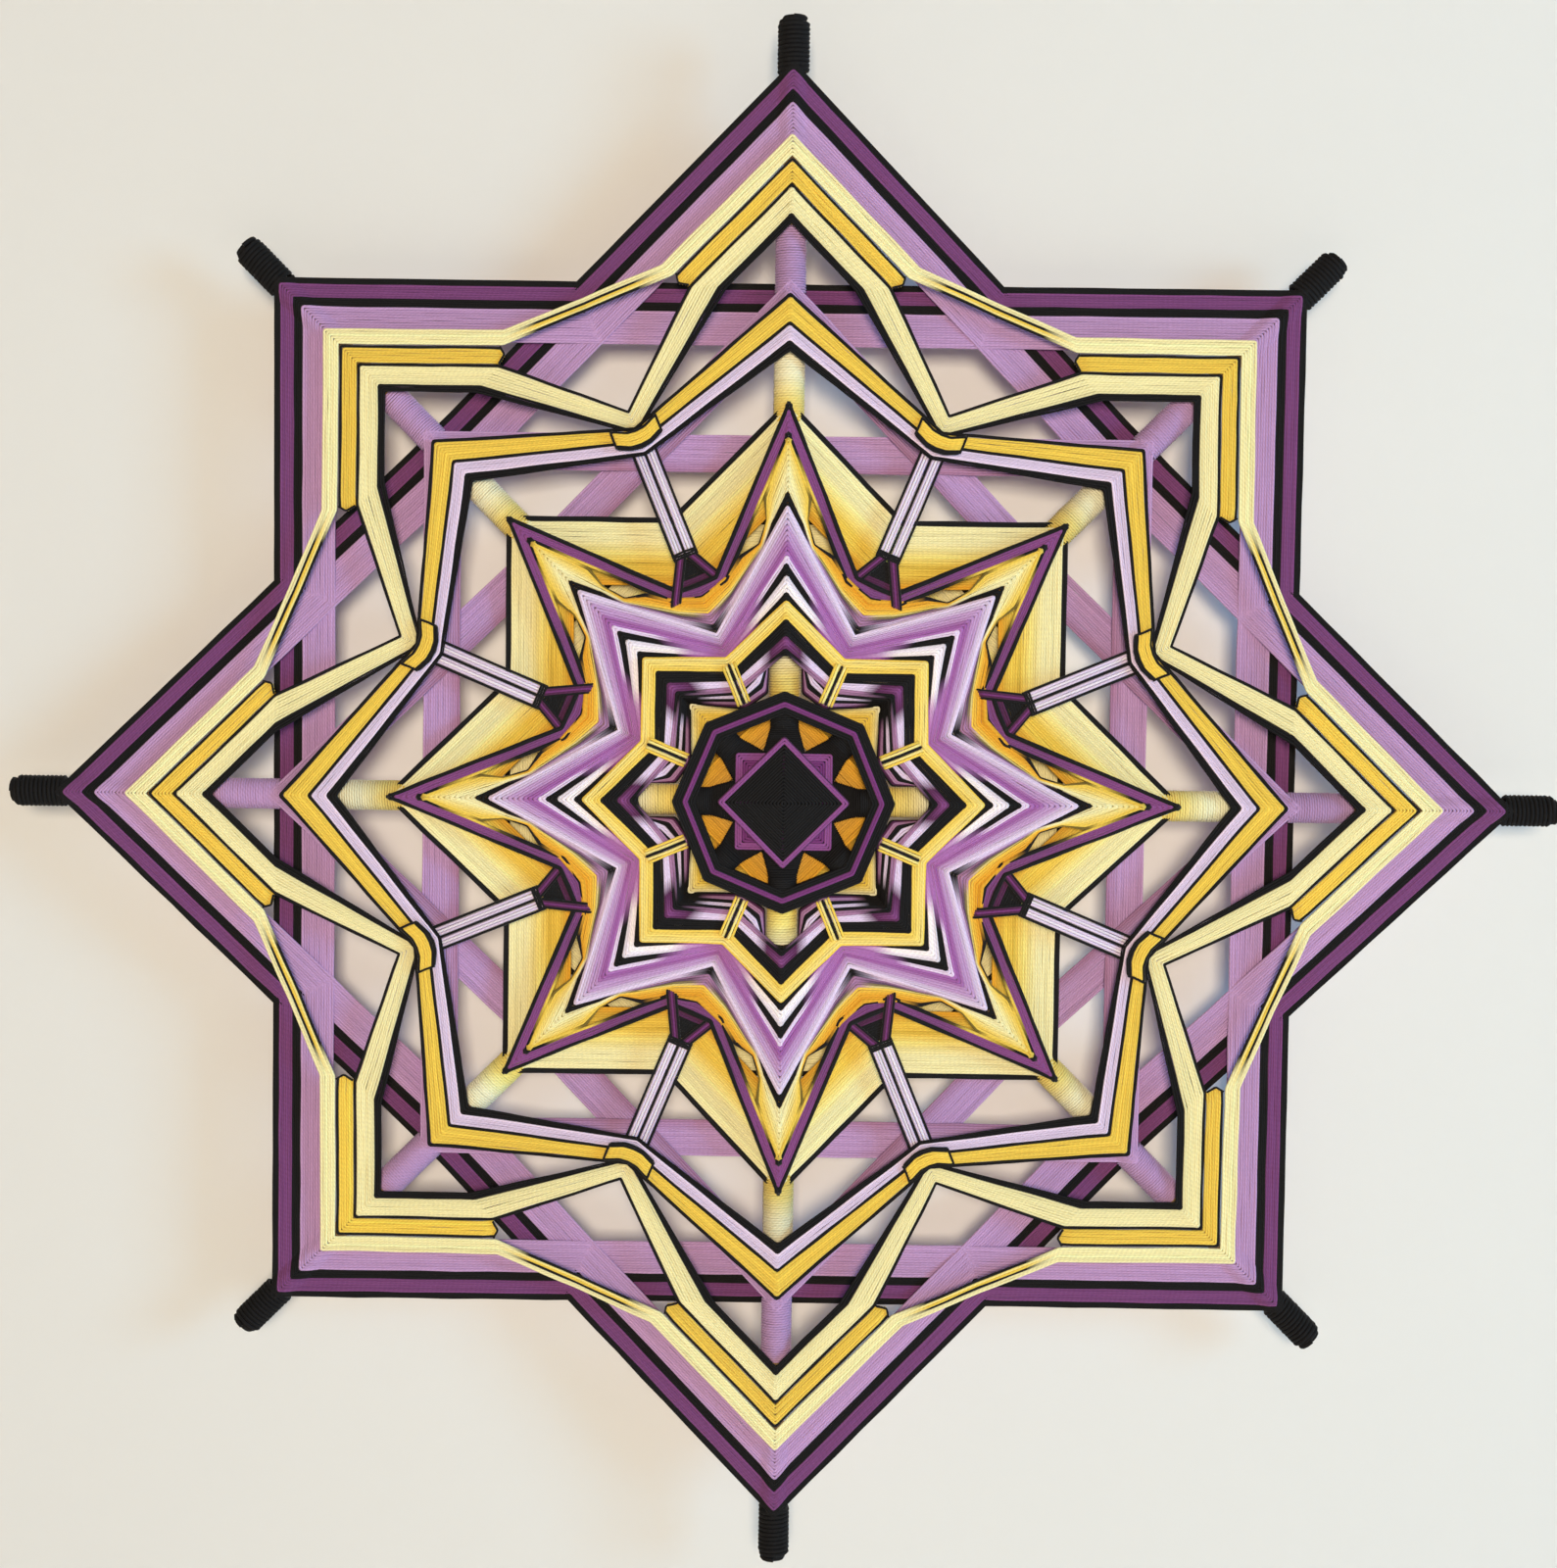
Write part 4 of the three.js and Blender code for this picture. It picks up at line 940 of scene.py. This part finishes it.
class OJO_OT_stars(bpy.types.Operator):
    """Wind the star bands with their ties, spokes and gathers"""

    bl_idname = "ojo.stars"
    bl_label = "Stars"

    def execute(self, context):
        seed = 80
        for group, star in STARS.items():
            for index, (label, colour, _, _) in enumerate(star["bands"]):
                seed += 1
                name = f"{group}_{label}"
                winding = Winding(f"yarn_{name}", seed)
                wind_star_band(winding, group, index, name, colour)
                if name == "heart_star_yellow":
                    self.ties(winding)
                if name == "middle_star_pale":
                    self.spokes(winding)
                if name == "middle_star_yellow":
                    for arm in range(8):
                        wind_gather(winding, arm, star_tops(star)[2] + GATHER_LIFT)
                settle(winding, colour, name)
        return {"FINISHED"}

    def ties(self, winding):
        """Short double ties from the yellow star to the rim."""
        height = star_tops(STARS["heart_star"])[2] + TIES_LIFT
        for arm in range(8):
            wind_valley_bar(winding, arm, TIES, TIES_WIDTH, (height, height), TIES_TONES)

    def spokes(self, winding):
        """Pale double spokes with dark outlines, and the dark legs that tie them to the star inside."""
        far = star_tops(STARS["middle_star"])[2] - UNDER_LAYER
        knee, near = LEG_STOPS[1][:2]
        for arm in range(8):
            wind_valley_bar(winding, arm, SPOKE, SPOKE_WIDTH, (far + SPOKE_LIFT, far), SPOKE_TONES)
            for side in (-1, 1):
                for aside, name in LEG_TONES.items():
                    lay_valley(winding, arm, [(radius, side * (across + aside), far + lift)
                                              for radius, across, lift in LEG_STOPS], name)
            for radius in np.arange(*WEB):
                reach = near + (knee - radius) * WEB_FLARE
                stops = [(radius, across, far + WEB_LIFT) for across in (-reach, 0.0, reach)]
                lay_valley(winding, arm, stops, "plum" if radius < WEB_PLUM else "black", WRAP_GIRTH)
            for radius in KNOT:
                stops = [(radius, across, far + KNOT_LIFT) for across in (-KNOT_REACH, 0.0, KNOT_REACH)]
                lay_valley(winding, arm, stops, "black")


class OJO_OT_chevrons(bpy.types.Operator):
    """Wind the yellow chevrons and the outer cream band with its ties"""

    bl_idname = "ojo.chevrons"
    bl_label = "Chevrons"

    def execute(self, context):
        star = STARS["chevron"]
        self.yellow(star)
        winding = Winding("yarn_chevron_cream_outer", 142)
        inner = self.tie_edge(CREAM_CHEVRON[0], TIE[0])
        outer = self.tie_edge(CREAM_CHEVRON[1], TIE[1])
        count = len(CHEVRON_TIE_TONES)
        girths = close_girths(band_widths(outer, inner), count)
        for k, name in enumerate(CHEVRON_TIE_TONES):
            half = np.column_stack([inner + (outer - inner) * (k + 0.5) / count, girths])
            loop = star_loop(star, half)
            winding.lay_loop(loop, fade(loop[:, 4:], *TIE_FADE, "cream", name))
        settle(winding, "cream", "chevron_cream_outer")
        return {"FINISHED"}

    def tie_edge(self, tip, tie):
        across = (tip * math.cos(EIGHTH) - tie) / (math.cos(EIGHTH) - math.sin(EIGHTH))
        return np.array([[tip, 0.0], [tip - across, across], polar(tie, EIGHTH)])

    def yellow(self, star):
        """Yellow bands that end in a slanted, dark-edged wrap at each shoulder."""
        winding = Winding("yarn_chevron_yellow", 141)
        end = self.tie_edge(CREAM_CHEVRON[0], TIE[0])[1][1] - YELLOW_SETBACK
        count = YELLOW_STRANDS
        wide = YELLOW_CHEVRON[1] - YELLOW_CHEVRON[0]
        girth = CLOSE * wide / math.sqrt(2) / (count * strand())
        for arm in range(8):
            top = star_tops(star)[arm % 2]
            valley = star_tops(star)[2]

            def place(tip, across, lift=0.0):
                angle = math.atan2(abs(across), tip - abs(across))
                high = top + (valley - top) * angle / EIGHTH - strand() / 2 + lift
                high += RIDGE * math.exp(-(across / RIDGE_REACH) ** 2)
                return np.array([*on_arm(arm, tip - abs(across), across), high])

            def stop(share):
                return end + wide * share / 2 - CAP_PULL * abs(share - CAP_BULGE)

            for k in range(count):
                share = (k + 0.5) / count
                tip = YELLOW_CHEVRON[0] + wide * share
                line = [place(tip, a) for a in np.linspace(-stop(share), stop(share), YELLOW_POINTS)]
                line[0][2] -= YELLOW_TUCK
                line[-1][2] -= YELLOW_TUCK
                winding.lay(line, tone("black" if k == count - 1 else "yellow"), girth)
            for side in (-1, 1):
                cap = [place(YELLOW_CHEVRON[0] + wide * s, side * stop(s), CAP_LIFT) for s in CAP_STOPS]
                winding.lay(cap, tone("black"), CAP_GIRTH)
        settle(winding, "yellow", "chevron_yellow")


class OJO_OT_hub(bpy.types.Operator):
    """Wind the rim, its arms and the two ridged squares at the centre"""

    bl_idname = "ojo.hub"
    bl_label = "Hub"

    def rings(self, winding, sides, corners, heights, colour, turn=0.0):
        """Closed rings with their corners at one or more radii and heights."""
        angle = np.arange(sides) * 2 * math.pi / sides + turn
        for corner, height in np.broadcast(corners, heights):
            line = np.stack([corner * np.cos(angle), corner * np.sin(angle), np.full(sides, height)], 1)
            winding.lay(line, tone(colour), PLUMP, closed=True, wander=0.6)

    def execute(self, context):
        for step, (name, (inner, outer)) in enumerate(RIM.items()):
            colour = "purple" if name == "rim_purple" else "black"
            winding = Winding(f"yarn_{name}", 150 + step)
            top = RIM_TOP + (RIM_PURPLE_LIFT if colour == "purple" else 0.0) - strand() / 2
            corners = np.arange(inner + RIM_INSET[1], outer + RIM_INSET[0], strand() * RING_LANE)
            self.rings(winding, 8, corners, top, "grape" if colour == "purple" else colour)
            if colour == "black":
                side = inner + RIM_INSET[0] if name == "rim_black_inner" else outer - RIM_INSET[1]
                heights = np.arange(RIM_BOTTOM + RING_INSET, top - RING_INSET, strand() * LANE)
                self.rings(winding, 8, side, heights, colour)
            if name == "rim_black_inner":
                for arm in range(8):
                    self.arm(winding, arm)
            settle(winding, colour, name)
        self.diamond()
        self.square()
        return {"FINISHED"}

    def arm(self, winding, arm):
        """Black yarn wound on an arm of the rim; it flattens and widens toward the hub."""
        inner, wide, low = RIM_WEDGE
        turns = round((RIM_ARM[1] - inner) / (strand() * RIM_ARM_LANE))
        along = np.linspace(inner, RIM_ARM[1], turns * RIM_ARM_STEPS + 1)
        share = np.clip((along - inner) / (RIM_ARM[0] + RIM_SHIFT - inner), 0, 1)
        climb = np.clip((along - RIM_ARM[0]) / RIM_CLIMB, 0, 1)
        half_width = wide + (RIM_ARM_WIDTH - wide) * share
        half_height = RIM_FLAT + RIM_ROUND * climb
        centre = low + ((RIM_BOTTOM + RIM_TOP) / 2 - RIM_SINK - low) * climb
        winding.ellipse(arm, along, half_width, half_height, centre, turns, tone("black"))

    def diamond(self):
        winding = Winding("yarn_hub_diamond", 155)
        corners = np.arange(HUB_STARTS[0], HUB_CORNER, strand() * HUB_LANE)
        slope = HUB_APEX - (HUB_APEX - RIM_TOP) * corners / HUB_CORNER - strand() / 2
        self.rings(winding, 4, corners, slope, "black")
        heights = np.arange(HUB_SEAT + RING_INSET, RIM_TOP - RING_INSET, strand() * LANE)
        self.rings(winding, 4, HUB_CORNER, heights, "black")
        settle(winding, "black", "hub_diamond_black")
        winding = Winding("yarn_hub_diamond_outline", 156)
        corners = [HUB_OUTLINE[0] + lane for lane in HUB_OUTLINE_LANES]
        self.rings(winding, 4, corners, RIM_TOP - strand() / 2, "purple")
        heights = np.arange(HUB_SEAT + RING_INSET, RIM_TOP - 2 * RING_INSET, strand() * LANE)
        self.rings(winding, 4, HUB_OUTLINE[1] - HUB_OUTLINE_INSET, heights, "plum")
        settle(winding, "purple", "hub_diamond_outline")

    def square(self):
        turn = math.pi / 4
        height = HUB_SQUARE_TOP - strand() / 2
        winding = Winding("yarn_hub_square", 157)
        corners = np.arange(HUB_STARTS[1], HUB_CORNER + RIM_INSET[1], strand() * HUB_LANE)
        self.rings(winding, 4, corners[corners < HUB_BLACK], height, "black", turn)
        self.rings(winding, 4, corners[corners >= HUB_BLACK], height, "grape", turn)
        settle(winding, "black", "hub_square_black")
        winding = Winding("yarn_hub_square_outline", 158)
        corners = (HUB_OUTLINE[0], HUB_OUTLINE[0] + HUB_SQUARE_LANE, HUB_OUTLINE[1])
        self.rings(winding, 4, corners, height + HUB_SQUARE_LIFT, "purple", turn)
        settle(winding, "violet", "hub_square_outline")


class OJO_OT_stage(bpy.types.Operator):
    """Set up the pale wall and floor, soft light and the camera"""

    bl_idname = "ojo.stage"
    bl_label = "Stage"

    def execute(self, context):
        settings = context.scene.ojo_stage
        wall_y = CAD_HIGH[1] + settings.wall_gap
        floor_z = -settings.floor_drop
        wall = self.plane("wall", (wall_y, floor_z), (wall_y, ROOM_TOP),
                          self.paint("pale_wall", settings.wall_colour, True))
        floor = self.plane("floor", (ROOM_FRONT, floor_z), (ROOM_BACK, floor_z),
                           self.paint("pale_floor", settings.wall_colour, False))
        wall.visible_shadow = False
        for name, lamp in LAMPS.items():
            self.light(name, *lamp)
        world = bpy.data.worlds.new("soft_sky")
        world.use_nodes = True
        sky = world.node_tree.nodes["Background"]
        sky.inputs["Color"].default_value = SKY_COLOUR
        sky.inputs["Strength"].default_value = SKY_STRENGTH
        context.scene.world = world
        context.scene.view_settings.view_transform = "Standard"
        self.camera(context, settings)
        return {"FINISHED"}

    def plane(self, name, near, far, paint):
        """A sheet across the room between two level lines, each given as its place in y and z."""
        mesh = bpy.data.meshes.new(name)
        corners = [(-ROOM_HALF, *near), (ROOM_HALF, *near), (ROOM_HALF, *far), (-ROOM_HALF, *far)]
        mesh.from_pydata(corners, [], [(0, 1, 2, 3)])
        mesh.materials.append(paint)
        return add_object(name, mesh)

    def paint(self, name, colour, one_sided):
        """Matt paint with a faint roller texture; a one-sided wall isn't seen from behind."""
        material, shader, place = finish_start(name)
        shader.inputs["Base Color"].default_value = (*linear(colour), 1)
        shader.inputs["Roughness"].default_value = 0.9
        place.noise(220.0, 3.0).bump(0.05, 0.0005).feed(shader, "Normal")
        if one_sided:
            behind = place.node("ShaderNodeNewGeometry", output="Backfacing")
            clear = place.node("ShaderNodeBsdfTransparent")
            seen = Field(place.tree, shader.outputs["BSDF"])
            mixed = place.node("ShaderNodeMixShader", {0: behind, 1: seen, 2: clear})
            mixed.feed(place.tree.nodes["Material Output"], "Surface")
        return material

    def light(self, name, place, size, power, colour, cone=None):
        """A soft lamp aimed at the centre, or one that a cone keeps to the sunken heart."""
        lamp = bpy.data.lights.new(name, "SPOT" if cone else "AREA")
        if cone:
            lamp.spot_size = cone
            lamp.spot_blend = 1.0
            lamp.shadow_soft_size = size
        else:
            lamp.size = size
        lamp.energy = power
        lamp.color = colour
        obj = add_object(name, lamp)
        obj.location = place
        obj.rotation_euler = (-obj.location).to_track_quat("-Z", "Y").to_euler()

    def camera(self, context, settings):
        """A camera in front of the wall; the picture is 1589 by 1600 and its height is the long side."""
        data = bpy.data.cameras.new("front")
        place = Vector((CAMERA_X, -settings.camera_distance, settings.camera_rise))
        look = Vector(CAMERA_AIM) - place
        data.sensor_width = SENSOR
        data.lens = data.sensor_width * look.length / settings.picture_height
        obj = add_object("front", data)
        turn = look.to_track_quat("-Z", "Y").to_matrix().to_4x4()
        roll = Matrix.Rotation(settings.camera_roll, 4, "Z")
        obj.matrix_world = Matrix.Translation(place) @ turn @ roll
        context.scene.camera = obj


class OJO_PT_panel(bpy.types.Panel):
    """Lists the steps that wind the ojo de dios"""

    bl_idname = "OJO_PT_panel"
    bl_label = "Ojo de dios"
    bl_space_type = "VIEW_3D"
    bl_region_type = "UI"
    bl_category = "Ojo de dios"

    def draw(self, context):
        for group in (context.scene.ojo_yarn, context.scene.ojo_stage):
            for name in group.__annotations__:
                self.layout.prop(group, name)
        for step in STEPS:
            self.layout.operator(step.bl_idname)


STEPS = (OJO_OT_sticks, OJO_OT_tips, OJO_OT_squares, OJO_OT_heart_squares, OJO_OT_stars, OJO_OT_chevrons,
         OJO_OT_hub, OJO_OT_stage)
CLASSES = (YarnSettings, StageSettings, *STEPS, OJO_PT_panel)


def register():
    for cls in CLASSES:
        bpy.utils.register_class(cls)
    bpy.types.Scene.ojo_yarn = bpy.props.PointerProperty(type=YarnSettings)
    bpy.types.Scene.ojo_stage = bpy.props.PointerProperty(type=StageSettings)


def unregister():
    del bpy.types.Scene.ojo_stage
    del bpy.types.Scene.ojo_yarn
    for cls in reversed(CLASSES):
        bpy.utils.unregister_class(cls)


def main():
    register()
    for step in STEPS:
        group, name = step.bl_idname.split(".")
        getattr(getattr(bpy.ops, group), name)()


if __name__ == "__main__":
    main()
